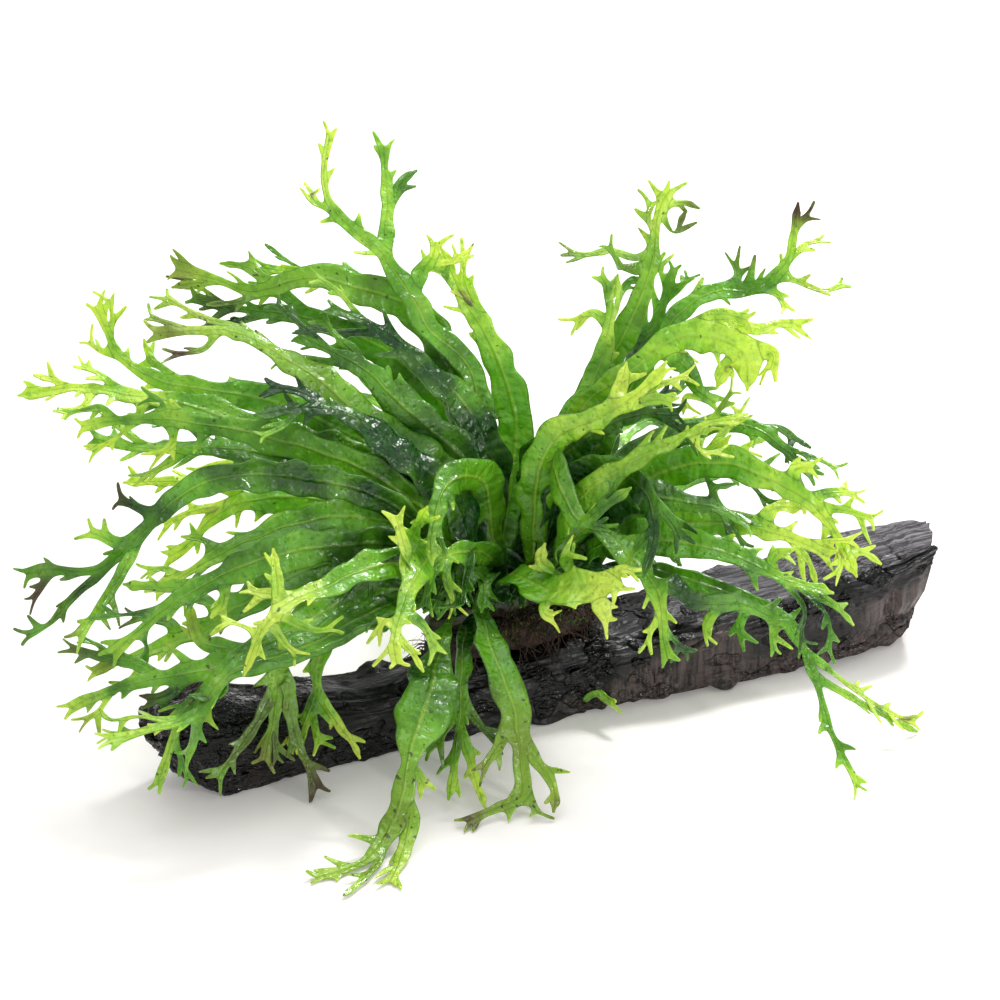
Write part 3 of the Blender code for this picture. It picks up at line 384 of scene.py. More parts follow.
def fine_copy(node, cuts):
    """A solid's own mesh, closed up and cut finer."""
    bm = bmesh.new()
    bm.from_mesh(nodes[node].data)
    bmesh.ops.remove_doubles(bm, verts=bm.verts, dist=1e-6)
    bmesh.ops.subdivide_edges(bm, edges=bm.edges, cuts=cuts, use_grid_fill=True, smooth=0.6)
    bm.normal_update()
    return bm


def finished(name, bm, look):
    """Makes an object of a bmesh that rides on the log."""
    mesh = bpy.data.meshes.new(name)
    bm.to_mesh(mesh)
    bm.free()
    mesh.shade_smooth()
    mesh.materials.append(look)
    piece = placed(name, mesh)
    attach(piece, "root")
    return piece


def rhizome_skin():
    skin = Finish("rhizome_skin")
    scales = skin.speckle(skin.place((260, 700, 700)), 1.0, 3.0)
    mottle = skin.speckle(skin.place(), 300.0, 3.0)
    colour = skin.mix(scales.from_to(0.4, 0.6), (0.014, 0.009, 0.005, 1), (0.04, 0.05, 0.012, 1))
    colour = skin.mix(mottle.from_to(0.55, 0.7) * 0.7, colour, (0.02, 0.012, 0.008, 1))
    skin.shade(Base_Color=colour, Roughness=0.35 + 0.3 * mottle)
    skin.raised(scales, 0.8, 0.0006)
    return skin.material


bm = fine_copy("rhizome", 3)
for vert in bm.verts:
    bump = noise.noise(Vector((vert.co.x * 420, vert.co.y * 600, vert.co.z * 600)))
    vert.co += vert.normal * (0.0005 * bump - 0.0001)
rhizome = finished("scaly_rhizome", bm, rhizome_skin())
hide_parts("rhizome")


# The root mat ------------------------------------------------------------------------------------
# The felt of fine brown roots with which the fern grips the wood. Single roots wander out of it over
# the log, short ones stand up between the stalks, and a little green moss has settled in it.

ROOTS = 620
ROOT_RADII = (0.00014, 0.0003)
ROOT_TAPER = 0.84
ROOT_LIFT = 0.0002
UPRIGHT_STEP = 0.0009
LYING_STEP = 0.0016
MOSS_TUFTS = 260
MOSS_HEIGHTS = (0.0006, 0.0014)


def root_felt():
    felt = Finish("root_felt")
    threads = felt.speckle(felt.place((900, 900, 260)), 1.0, 4.0, 0.7)
    damp = felt.speckle(felt.place(), 160.0, 2.0)
    colour = felt.mix(threads.from_to(0.38, 0.62), (0.008, 0.005, 0.004, 1), (0.075, 0.036, 0.016, 1))
    colour = felt.mix(damp.from_to(0.5, 0.7) * 0.5, colour, (0.05, 0.022, 0.012, 1))
    felt.shade(Base_Color=colour, Roughness=0.45 + 0.35 * damp)
    felt.raised(threads, 1.0, 0.0008)
    return felt.material


def thread(bm, points, thick):
    """A root: a square of points drawn out along a line, thinner towards its end, and closed."""
    ahead = (points[1] - points[0]).normalized()
    turn = ahead.to_track_quat("Z", "Y").to_matrix().to_4x4()
    ring = bmesh.ops.create_circle(bm, cap_ends=False, radius=thick, segments=4,
                                   matrix=Matrix.Translation(points[0]) @ turn)["verts"]
    start = rim = ring_edges(bm, ring)
    for low, high in zip(points, points[1:]):
        made = bmesh.ops.extrude_edge_only(bm, edges=rim)["geom"]
        rim = [item for item in made if isinstance(item, bmesh.types.BMEdge)
               and all(v in made for v in item.verts)]
        for vert in new_verts(made):
            vert.co = high + (vert.co - low) * ROOT_TAPER
    bmesh.ops.contextual_create(bm, geom=start)
    bmesh.ops.contextual_create(bm, geom=rim)


wood_tree = BVHTree.FromObject(log, bpy.context.evaluated_depsgraph_get())
felt_low, felt_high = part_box("root_mat")
dice = random.Random(5)
bm = fine_copy("root_mat", 4)
for vert in bm.verts:
    knot = noise.noise(vert.co * 260)
    knot += 0.6 * noise.noise(Vector((vert.co.x * 900, vert.co.y * 900, vert.co.z * 260)))
    vert.co += vert.normal * (0.0009 * knot)
starts = [(v.co.copy(), v.normal.copy()) for v in bm.verts if v.normal.z > -0.2]
for _ in range(ROOTS):
    place, out = dice.choice(starts)
    points = [place - out * 0.0006]
    heading = out + Vector((dice.uniform(-1, 1), dice.uniform(-1, 1), dice.uniform(-0.6, 0.7)))
    heading.normalize()
    upright = dice.random() < 0.3
    for _ in range(5 if upright else 7):
        heading += Vector((dice.uniform(-0.6, 0.6), dice.uniform(-0.6, 0.6), 0.25 if upright else -0.35))
        heading.normalize()
        ahead = points[-1] + heading * (UPRIGHT_STEP if upright else LYING_STEP)
        hit = wood_tree.ray_cast(Vector((ahead.x, ahead.y, 0.1)), Vector((0, 0, -1)))[0]
        if hit is not None and ahead.z < hit.z + ROOT_LIFT:
            ahead.z = hit.z + ROOT_LIFT
        points.append(ahead)
    thread(bm, points, dice.uniform(*ROOT_RADII))
bmesh.ops.recalc_face_normals(bm, faces=bm.faces)
root_mat = finished("root_felt_and_threads", bm, root_felt())
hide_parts("root_mat")


def moss_green():
    moss = Finish("moss_green")
    patches = moss.speckle(moss.place(), 500.0, 2.0)
    colour = moss.mix(patches.from_to(0.35, 0.65), (0.03, 0.12, 0.012, 1), (0.16, 0.40, 0.03, 1))
    moss.shade(Base_Color=colour, Roughness=0.5, Subsurface_Weight=0.2, Subsurface_Scale=0.001)
    return moss.material


bm = bmesh.new()
for _ in range(MOSS_TUFTS):
    place, out = dice.choice(starts)
    if out.z < 0.1:
        continue
    for _ in range(3):
        lean = (out + Vector((dice.uniform(-1, 1), dice.uniform(-1, 1), dice.uniform(0, 1)))).normalized()
        turn = lean.to_track_quat("Z", "Y").to_matrix().to_4x4()
        tall = dice.uniform(*MOSS_HEIGHTS)
        bmesh.ops.create_cone(bm, cap_ends=True, segments=4, radius1=tall * 0.25, radius2=tall * 0.03,
                              depth=tall, matrix=Matrix.Translation(place + lean * tall * 0.4) @ turn)
moss = finished("moss_tufts", bm, moss_green())


# The fronds --------------------------------------------------------------------------------------
# Thin living leaves, each grown as one piece from its stalk: a strap with a raised midrib and wavy
# margins, whose outer part forks again and again like an antler. They are soaking wet.

# Each frond: name, place along the rhizome, blade width, roll in degrees, tone, route, forks. Its tone
# runs from 0, a deep green, to 1, a young yellow green. It is partly the frond's own age and partly
# painted light: fronds in shade get a low tone as painted shade, and lit fronds a high one as painted
# light. A route's points are across, up and near as a person sees them who stands in front of the
# plant and looks down on it, in mm from the crown. A fork leaves the route at the point it counts.
FRONDS = (
    ("floor_frond_left", -9, 11, 10, 0.55,
     ((-14, -5, 20), (-18, -20, 40), (-21, -30, 46), (-24, -39, 50), (-25, -47, 51), (-29, -57, 54),
      (-34, -63, 60), (-41, -66, 64), (-48, -68, 67)),
     ((5.2, ((-25, -56, 51), (-27, -64, 60), (-29, -69, 69))), (6.6, ((-36, -67, 68), (-40, -71, 74))),
      (4.2, ((-22, -43, 50), (-20, -46, 50))))),
    ("floor_frond_middle", -3, 9.5, -8, 0.5,
     ((-7, 2, 8), (-4, -10, 22), (-1, -18, 30), (2, -26, 34), (3, -33, 36), (4, -41, 37), (4, -48, 37),
      (-2, -51, 38), (-7, -53, 40), (-11, -55, 43)),
     ((5, ((-2, -37, 37), (-5, -41, 38), (-7, -43, 38))),
      (5.4, ((8, -40, 37), (12, -46, 37), (12, -52, 39))), (7, ((7, -50, 38), (8, -53, 40))))),
    ("floor_frond_crest", -6, 8, 20, 0.4,
     ((-9, -5, 14), (-11, -19, 30), (-11, -26, 34), (-12, -36, 35), (-13, -44, 36), (-14, -49, 37)),
     ((3.2, ((-16, -34, 36), (-19, -37, 36), (-21, -38, 36))),
      (3.6, ((-10, -36, 35), (-7, -46, 36), (-5, -51, 38))),
      (3, ((-6, -31, 34), (-3, -34, 34), (0, -36, 34))))),
    ("floor_frond_right", 19, 6.5, -10, 0.5,
     ((30, 9, 10), (55, 2, 20), (70, -6, 22), (77, -20, 22), (81, -33, 25), (85, -41, 28), (88, -48, 30)),
     ((3.6, ((84, -20, 20), (91, -25, 12), (98, -29, 5), (104, -31, 1))),
      (4, ((86, -24, 19), (95, -29, 10), (103, -33, 6))))),
    ("front_curled", 7, 9, 20, 0.5,
     ((9, 20, 5), (8, 30, 6), (8, 38, 12), (11, 38, 20), (13, 30, 28), (18, 20, 35), (24, 23, 40),
      (31, 28, 42)),
     ((6.4, ((22, 19), (26, 18))), (7, ((27, 27), (27, 31))))),
    ("front_pale_arch", 0, 10, 12, 0.6,
     ((-3, 16, 8), (-5, 29, 18), (-10, 31, 27), (-15, 28, 34), (-18, 18, 40), (-18, 9, 43)),
     ((4.6, ((-22, 18), (-24, 14))), (5, ((-15, 13), (-14, 9))))),
    ("front_toothed", 4, 8.5, -20, 0.9,
     ((1, 6, 18), (10, 3, 28), (17, 3, 34), (26, 4, 40), (29, 1, 42)),
     ((2, ((8, 8), (9, 12))), (2.7, ((14, 8), (16, 11))), (3.8, ((24, 0), (26, -5))),
      (4, ((29, 6), (32, 6))), (2.4, ((12, -1), (15, -3))))),
    ("front_short_fork", -2, 7, 15, 0.4,
     ((-5, 12, 16), (-12, 12, 28), (-18, 7, 34), (-20, -3, 37)),
     ((2.6, ((-14, 4), (-12, -3))), (3, ((-23, 4), (-27, 2))))),
    ("front_dark_lobed", -12, 8, -30, 0.2,
     ((-16, 12, 26), (-28, 9, 38), (-36, 5, 42), (-41, -1, 44)),
     ((2.6, ((-33, 0), (-32, -6))), (3, ((-41, 8), (-44, 9))))),
    ("left_dark_cluster", -20, 8, -25, 0.3,
     ((-16, 14, 30), (-32, 26, 40), (-52, 31, 43), (-69, 31, 44), (-80, 26, 44), (-90, 17, 44),
      (-100, 8, 43), (-113, 8, 42), (-120, 6, 42)),
     ((7, ((-106, 2), (-113, -6), (-120, -9))), (6.4, ((-99, 16), (-104, 18))), (8, ((-114, 4), (-117, 0))),
      (6.2, ((-96, 5), (-101, -3), (-106, -10))), (5.6, ((-92, 24), (-97, 26))))),
    ("front_hanging_fork", -11, 9, -18, 0.5,
     ((-26, 5, 26), (-44, -1, 36), (-53, -8, 40), (-56, -15, 40), (-57, -27, 38), (-60, -41, 34)),
     ((4.2, ((-54, -26), (-52, -35), (-49, -41, 33), (-46, -48, 31))),
      (4.6, ((-62, -31), (-67, -38), (-72, -45))), (5.3, ((-57, -37), (-56, -41))))),
    ("front_hanging_narrow", -8, 7.5, 30, 0.55,
     ((-24, 2, 18), (-39, -5, 30), (-46, -13, 32), (-47, -23, 31), (-50, -31, 30), (-50, -36, 29)),
     ((4, ((-43, -28), (-38, -35), (-36, -39))), (4.6, ((-47, -32), (-45, -37))),
      (5.2, ((-53, -33), (-54, -36))))),
    ("left_spread", -18, 8.5, -20, 0.6,
     ((-16, 18, 26), (-36, 33, 33), (-56, 40, 34), (-76, 44, 33), (-92, 45, 32), (-107, 43, 31)),
     ((5, ((-97, 40), (-104, 36))), (5.4, ((-100, 48), (-110, 46))), (4.4, ((-82, 39), (-88, 35))),
      (4.6, ((-84, 49), (-90, 51))))),
    ("right_pale_arc", 12, 8, 16, 0.85,
     ((14, 36, 16), (20, 49, 22), (30, 56, 27), (42, 65, 31), (52, 65, 33), (60, 61, 34), (60, 52, 35)),
     ((3.8, ((45, 58), (48, 52), (54, 48)), ((2.2, ((44, 51), (46, 46))),)), (4.6, ((55, 69), (62, 68))),
      (5, ((62, 66), (69, 68), (75, 67))), (6, ((65, 60), (64, 55))), (5.6, ((55, 58), (53, 54))))),
    ("right_tall_narrow", 14, 8.5, 12, 0.65,
     ((16, 32, 10), (22, 51, 14), (29, 65, 17), (34, 76, 19), (37, 86, 21), (38, 96, 23), (42, 104, 24)),
     ((5, ((32, 85), (26, 87), (20, 86), (14, 87))), (6, ((42, 91), (45, 97))), (6.4, ((44, 99), (47, 98))),
      (4.6, ((29, 83), (25, 90))), (5.6, ((36, 95), (37, 101))))),
    ("front_star_left", -15, 8, 20, 0.85,
     ((-19, 10, 28), (-34, 8, 44), (-46, 3, 52), (-54, -1, 57), (-60, -8, 60), (-64, -18, 61)),
     ((4, ((-56, 6), (-57, 13))), (4.2, ((-50, -6), (-44, -7), (-41, -5))), (4.6, ((-54, -10), (-50, -14))),
      (5, ((-67, -5), (-72, -8))), (3.6, ((-60, 2), (-65, 4))))),
    ("left_arm_lower", -19, 9, -15, 0.55,
     ((-21, 5, 22), (-39, -5, 36), (-54, -12, 42), (-70, -16, 46), (-87, -19, 49), (-98, -22, 50),
      (-109, -27, 51)),
     ((5, ((-92, -15), (-101, -13), (-109, -11))), (6, ((-100, -27), (-105, -30))),
      (3.8, ((-75, -10), (-77, -5), (-78, 0))), (4, ((-73, -22), (-74, -31))),
      (4.6, ((-83, -23), (-90, -25))))),
    ("left_arm_low_crest", -16, 8.5, 37, 0.5,
     ((-26, 0, 27), (-51, -12, 46), (-64, -16, 53), (-70, -20, 56), (-76, -28, 58), (-88, -32, 60),
      (-99, -34, 60)),
     ((5.4, ((-90, -28), (-97, -29), (-99, -26))), (3.6, ((-73, -23), (-78, -23))),
      (5, ((-78, -34), (-80, -38))))),
    ("left_low_bright", -15, 9, 15, 0.75,
     ((-14, 16, 22), (-38, 21, 33), (-53, 19, 36), (-65, 14, 38), (-75, 9, 39), (-88, 1, 39)),
     ((4.6, ((-74, 15), (-80, 16))), (5, ((-78, 4), (-80, -2))), (5.5, ((-84, 8), (-90, 7))),
      (4, ((-62, 9), (-68, 4))))),
    ("left_low_fan", -17, 9, -15, 0.5,
     ((-20, 13, 26), (-42, 14, 38), (-62, 10, 44), (-78, 2, 46), (-90, -7, 46), (-98, -14, 46)),
     ((4, ((-83, 3), (-94, 4))), (4.6, ((-92, -3), (-102, -4))), (5, ((-88, -13), (-90, -18))),
      (3.5, ((-69, 1), (-71, -5))))),
    ("left_hanging_tips", -13, 8, 25, 0.5,
     ((-26, 8, 26), (-45, -3, 42), (-64, -13, 48), (-72, -20, 49), (-79, -28, 49), (-83, -38, 48),
      (-86, -47, 46)),
     ((4.6, ((-83, -30), (-90, -32), (-99, -33))), (5.6, ((-79, -40), (-77, -45))))),
    ("front_star_middle", -4, 8, 8, 0.8,
     ((-14, 12, 22), (-21, 8, 36), (-24, 1, 45), (-27, -9, 52), (-26, -17, 55)),
     ((2, ((-25, 14, 40), (-27, 23, 42))), (2.4, ((-19, 14, 42), (-17, 23, 44))),
      (3.6, ((-30, -5), (-32, -10))), (4, ((-23, -12), (-20, -17))), (3.4, ((-20, -6), (-16, -14))))),
    ("right_hanging_lobes", 11, 8.5, 18, 0.55,
     ((20, 18, 22), (30, 12, 34), (38, 2, 40), (39, -8, 42), (41, -16, 42)),
     (
      (2.8, ((43, -3), (50, -3), (58, -3), (66, -6), (73, -5)),
       ((2, ((49, -7), (51, -11))), (3, ((58, -7), (60, -11))), (4, ((66, -9), (67, -13))))),
      (3.6, ((36, -8), (35, -11))), (4, ((44, -12), (47, -14))))),
    ("right_low_crest", 16, 8.5, -14, 0.5,
     ((24, 14, 18), (40, 15, 30), (55, 12, 36), (65, 7, 39), (73, 4, 40), (81, 2, 40)),
     ((4.6, ((74, -2), (73, -8), (74, -12))), (5, ((79, -3), (80, -9), (79, -14))),
      (5.4, ((84, -1), (86, -5))), (4, ((67, 12), (72, 11))))),
    ("right_dark_arch", 8, 9, 25, 0.15,
     ((14, 26, 14), (22, 33, 26), (30, 31, 34), (35, 26, 38), (37, 17, 42), (34, 6, 45)),
     ((5, ((32, 13), (30, 8))), (4.4, ((40, 17), (43, 13))))),
    ("right_dark_broad", 13, 10.5, -20, 0.15,
     ((20, 22, 16), (32, 26, 24), (44, 25, 28), (55, 22, 31), (62, 18, 33)),
     ((3.6, ((52, 28), (57, 29))), (4, ((57, 17), (60, 12))))),
    ("right_bright_lace", 18, 8.5, 10, 0.9,
     ((28, 24, 12), (42, 33, 20), (55, 34, 25), (66, 30, 29), (76, 24, 31), (83, 15, 32), (87, 6, 32)),
     ((5, ((81, 27), (89, 26))), (5.3, ((86, 22), (93, 20))), (5.6, ((79, 17), (79, 11))),
      (6, ((84, 10), (81, 5))), (6.4, ((89, 12), (92, 10))), (4.4, ((72, 33), (78, 33))))),
    ("right_upper_lace", 9, 8, 7, 0.65,
     ((18, 25, 18), (33, 32, 30), (43, 34, 35), (51, 37, 38), (56, 41, 40)),
     ((3.6, ((50, 42), (52, 45))), (4, ((57, 37), (62, 38))), (4.4, ((58, 46), (57, 49))))),
    ("right_bright_spur", 6, 9, 15, 0.9,
     ((8, 30, 20), (13, 41, 26), (20, 44, 30), (28, 48, 34), (35, 53, 37), (41, 59, 38)),
     ((4, ((29, 54), (30, 59))), (4.4, ((38, 50), (43, 48))), (5, ((42, 55), (47, 56))))),
    ("right_spotted", 10, 8.5, -35, 0.8,
     ((14, 20, 20), (26, 31, 30), (38, 38, 36), (51, 44, 40), (58, 45, 42)),
     ((3.6, ((48, 37), (55, 37))), (4, ((54, 49), (57, 53))))),
    ("right_dark_leaning", 5, 9, 28, 0.15,
     ((12, 32, 14), (21, 41, 20), (32, 46, 24), (45, 46, 27)),
     ((3.2, ((38, 50), (42, 54))), (3.6, ((44, 42), (48, 39))))),
    ("right_dark_lace", 15, 8, -12, 0.3,
     ((26, 30, 6), (40, 40, 12), (52, 44, 15), (62, 43, 17), (70, 37, 18), (78, 30, 18)),
     ((4.4, ((68, 43), (76, 38))), (5, ((78, 35), (84, 32))), (5.4, ((73, 30), (72, 26))))),
    ("right_antler_tall", 17, 8, -8, 0.55,
     ((22, 36, 6), (37, 62, 12), (43, 71, 13), (52, 77, 13), (60, 77, 12), (67, 81, 12), (71, 86, 12),
      (73, 99, 13)),
     ((7, ((74, 89), (80, 90))), (7.6, ((74, 95), (76, 96))), (6.2, ((74, 79), (80, 77), (86, 80))),
      (5.6, ((68, 76), (71, 71))), (4.6, ((58, 81), (57, 85))))),
    ("right_tall_dark", 20, 8.5, -22, 0.35,
     ((20, 30, -2), (31, 57, 2), (37, 68, 4), (40, 76, 5), (43, 85, 6)),
     ((4, ((44, 78), (47, 82))), (4.4, ((39, 82), (38, 87))))),
    ("middle_broad_right", 3, 9.5, 8, 0.6,
     ((9, 22, 8), (19, 47, 14), (24, 60, 17), (27, 74, 18), (28, 81, 18)),
     ((3.6, ((21, 72), (16, 68))), (4, ((25, 79), (22, 82))), (4.3, ((30, 79), (33, 80))))),
    ("tall_antler_frond", -7, 6.5, 15, 0.7,
     ((-4, 30, 6), (-9, 58, 12), (-18, 66, 15), (-23, 75, 18), (-28, 82, 20), (-31, 87, 21), (-37, 91, 23),
      (-43, 98, 25), (-45, 105, 27), (-43, 118, 30)),
     ((6, ((-30, 93), (-29, 100), (-30, 108), (-30, 115)), ((2, ((-26, 104), (-22, 107))),)),
      (4.2, ((-21, 82), (-18, 85), (-17, 91)), ((2, ((-13, 84), (-11, 88))),)),
      (8, ((-47, 100), (-48, 103))))),
    ("top_bright_frond", -1, 9.5, -6, 0.85,
     ((1, 25, 0), (3, 44, 2), (0, 56, 3), (-4, 65, 4), (-9, 73, 4), (-12, 79, 5), (-16, 88, 5)),
     ((4.7, ((-11, 80, 4), (-10, 89, 4))), (6, ((-16, 82), (-20, 84))))),
    ("left_high_thin", -5, 6.5, 20, 0.5,
     ((-4, 30, -2), (-11, 55, -2), (-19, 68, -3), (-31, 77, -5), (-41, 83, -7), (-51, 82, -8),
      (-63, 84, -9)),
     ((5, ((-46, 79), (-50, 77))), (6, ((-56, 86), (-60, 89))))),
    ("left_high_broad", -10, 9.5, -12, 0.6,
     ((-9, 44, 10), (-20, 70, 14), (-30, 76, 16), (-37, 78, 16), (-45, 80, 15), (-52, 80, 14),
      (-63, 77, 13), (-72, 80, 12), (-84, 83, 11)),
     ((6.6, ((-64, 83), (-71, 84))), (7, ((-68, 75), (-74, 74))), (8, ((-78, 79), (-83, 78))))),
    ("left_glossy_upper", -4, 9.5, 28, 0.2,
     ((-2, 30, 10), (-9, 48, 16), (-18, 56, 20), (-26, 64, 22), (-34, 69, 23), (-45, 74, 24)),
     ((4.8, ((-43, 68), (-50, 69))), (5.2, ((-42, 76), (-48, 80))))),
    ("left_middle_fan", -16, 9, 18, 0.4,
     ((-16, 22, 22), (-36, 31, 28), (-56, 36, 28), (-74, 38, 27), (-90, 38, 25), (-104, 41, 24)),
     ((4.4, ((-84, 34), (-92, 30))), (5, ((-95, 42), (-101, 46))), (4, ((-78, 43), (-86, 45))),
      (3.5, ((-66, 33), (-73, 29))))),
    ("left_glossy_middle", -9, 10, -15, 0.2,
     ((-8, 30, 16), (-17, 41, 21), (-26, 49, 25), (-34, 57, 28), (-43, 62, 29), (-53, 67, 29)),
     ((4.8, ((-50, 60), (-58, 60))), (5.2, ((-54, 71), (-58, 75))), (4.4, ((-42, 66), (-46, 71))))),
    ("left_brown_tipped", -14, 9, 14, 0.6,
     ((-10, 26, 18), (-26, 40, 24), (-37, 47, 27), (-46, 55, 28), (-57, 62, 27), (-68, 67, 26),
      (-78, 67, 25), (-89, 66, 24)),
     ((6, ((-76, 70), (-86, 76))), (6.4, ((-75, 62), (-84, 61))), (7.2, ((-84, 69), (-90, 71))))),
    ("left_glossy_lower", -10, 10.5, 30, 0.1,
     ((-12, 24, 24), (-26, 37, 31), (-37, 45, 34), (-48, 48, 36), (-62, 46, 36)),
     ((3.8, ((-52, 52), (-60, 53))), (4.2, ((-55, 43), (-62, 40))))),
    ("left_upswept", -17, 8.5, -10, 0.65,
     ((-16, 26, 16), (-36, 40, 19), (-56, 49, 18), (-70, 52, 16), (-84, 54, 14), (-95, 60, 12),
      (-99, 67, 11), (-103, 75, 10)),
     ((6.4, ((-101, 62), (-105, 66))), (7, ((-98, 72), (-99, 77))), (5, ((-88, 60), (-90, 65))),
      (4.6, ((-84, 50), (-91, 49))))),
    ("left_outermost", -20, 8.5, 12, 0.75,
     ((-18, 24, 20), (-40, 36, 24), (-62, 43, 24), (-80, 49, 22), (-93, 51, 21), (-106, 53, 20),
      (-121, 51, 18)),
     ((5.4, ((-100, 56), (-107, 59))), (5.8, ((-105, 48), (-112, 47))), (4.8, ((-91, 46), (-98, 44))),
      (6.3, ((-113, 55), (-117, 56))))),
    ("left_back_bright", -21, 9, 10, 0.9,
     ((-20, 16, 2), (-39, 24, 4), (-54, 26, 4), (-64, 25, 3), (-73, 21, 1), (-80, 13, -1), (-86, 10, -2)),
     ((4.6, ((-79, 22), (-87, 18))), (4.2, ((-73, 28), (-84, 29), (-95, 29))),
      (3.4, ((-62, 31), (-70, 34), (-79, 31))))),
    ("left_low_outer", -19, 9, 20, 0.6,
     ((-24, 10, 20), (-44, 9, 30), (-62, 1, 35), (-75, -7, 37), (-90, -13, 38), (-104, -18, 38)),
     ((4.4, ((-84, -5), (-94, -4))), (5, ((-92, -19), (-99, -24))), (3.6, ((-74, 0), (-82, 2))),
      (5.5, ((-100, -11), (-106, -9))))),
    ("left_top_fan", -7, 9, -18, 0.4,
     ((-8, 36, 14), (-22, 56, 18), (-36, 66, 19), (-52, 71, 19), (-68, 73, 18), (-80, 76, 17)),
     ((4, ((-57, 76), (-64, 79))), (4.6, ((-68, 69), (-76, 68))), (5.4, ((-76, 78), (-82, 82))))),
    ("right_low_fan", 18, 9, 14, 0.75,
     ((26, 16, 16), (42, 19, 26), (58, 19, 31), (72, 15, 34), (82, 10, 36)),
     ((3.4, ((66, 23), (74, 23))), (4, ((75, 10), (77, 4))), (4.4, ((82, 15), (88, 15))))),
    ("back_left_arch", -11, 9, 10, 0.45,
     ((-10, 22, -14), (-20, 40, -26), (-32, 50, -38), (-44, 52, -47)),
     ((3, ((-36, 56), (-42, 60))), (3.4, ((-41, 46), (-47, 44))))),
    ("back_left_low", -17, 9, -12, 0.4,
     ((-20, 16, -16), (-38, 26, -28), (-54, 32, -36), (-66, 30, -42)),
     ((3, ((-58, 38), (-65, 42))), (3.4, ((-63, 27), (-68, 22))))),
    ("back_middle_arch", 1, 9, 14, 0.5,
     ((0, 24, -14), (-3, 38, -30), (-6, 44, -44), (-8, 42, -56)),
     ((3, ((-2, 48), (0, 52))), (3.4, ((-12, 43), (-15, 40))))),
    ("back_right_arch", 12, 9, -10, 0.45,
     ((14, 24, -12), (24, 38, -26), (36, 45, -38), (48, 44, -46)),
     ((3, ((40, 50), (46, 54))), (3.4, ((45, 39), (51, 36))))),
    ("back_right_low", 19, 9, 16, 0.4,
     ((26, 20, -12), (42, 30, -22), (56, 33, -30), (68, 30, -36)),
     ((3, ((60, 38), (67, 41))), (3.4, ((65, 26), (70, 23))))),
    ("small_leaf_underneath", None, 4.5, 50, 0.7,
     ((20, -25.5, -6), (22, -23.5, -7), (25, -25, -5), (29, -28, -1)),
     ()),
)

LOOK_DOWN = radians(28)
LOG_TURN = radians(27.9)
CROWN = Vector((0, 0, 29))
TO_GROUND = Matrix((
    (1, 0, 0),
    (0, sin(LOOK_DOWN), -cos(LOOK_DOWN)),
    (0, cos(LOOK_DOWN), sin(LOOK_DOWN)),
))
TO_WORLD = Matrix.Rotation(-LOG_TURN, 3, "Z") @ TO_GROUND

STALK_WIDTH = 1.5
FORK_WIDTH = 3.9
FROND_THICKNESS = 0.34
GROUND_CLEARANCE = 0.4
FACING = Vector((0, 0.25, 1))
TWIST_CARRIED_ON = 4
STEPS = 8
ROW_SPACING = 3.2
FORK_ROW_SPACING = 2.2
ROOT_HALF = 1.9
LEAST_LEAD = 1.2
CURL = 0.3
TWIST = 38
SOLID_REACH = 3.0
SOLID_DEPTH = 12
EDGE_BULGE = 0.6
RIPPLE_LENGTHS = (8.5, 5.1)
TOOTH_LENGTHS = (1.2, 3.4)
PRONG_LENGTHS = (3.5, 7)
TEETH_SHARE = 0.7
TIP_WIDTHS = (0.4, 0.85)
SINGLE_TIPS = 0.3
RHIZOME_TOP = 0.0285
MARKS = ("reach", "rib", "along", "tone", "wilt", "age")

# Widths along a blade, as shares of its length and of its full width, and in mm for the fronds whose
# outline differs: they are pinched or folded where the photograph shows it.
OUTLINE = (
    (0, 0.17), (0.05, 0.2), (0.16, 0.62), (0.32, 1), (0.58, 0.95), (0.78, 0.5), (0.91, 0.24), (1, 0.36),
)
OWN_OUTLINES = {
    "floor_frond_left":
        ((0, 1.5), (0.12, 1.6), (0.25, 7), (0.37, 11.5), (0.49, 12.5), (0.545, 9), (0.585, 3.2),
         (0.63, 5.2), (0.72, 5.8), (0.79, 4), (0.9, 2.2), (1, 2.6)),
    "floor_frond_middle":
        ((0, 1.5), (0.1, 1.6), (0.25, 6), (0.36, 7.6), (0.6, 7.9), (0.65, 7), (0.69, 4.3), (0.8, 4.2),
         (0.86, 2.2), (1, 2.2)),
    "floor_frond_crest":
        ((0, 1.5), (0.1, 1.6), (0.3, 4.4), (0.6, 4.2), (0.75, 3), (0.9, 1.8), (1, 2.2)),
    "floor_frond_right":
        ((0, 1.5), (0.15, 1.6), (0.35, 5), (0.55, 4.2), (0.66, 2.3), (0.9, 1.3), (1, 1.8)),
    "front_hanging_narrow":
        ((0, 1.5), (0.08, 2), (0.25, 9), (0.36, 12.5), (0.5, 11), (0.62, 5), (0.85, 2.6), (1, 3)),
    "right_pale_arc":
        ((0, 1.5), (0.1, 2.2), (0.3, 5.5), (0.6, 5.5), (0.72, 5.5), (0.84, 9), (0.94, 8.5), (1, 4)),
    "front_toothed":
        ((0, 1.5), (0.12, 3), (0.3, 8), (0.55, 10), (0.8, 9.5), (0.92, 7), (1, 4)),
    "right_antler_tall":
        ((0, 1.5), (0.08, 2), (0.3, 8), (0.46, 8), (0.56, 2.6), (0.62, 5.2), (0.7, 4.4), (0.85, 2.6),
         (1, 2)),
}

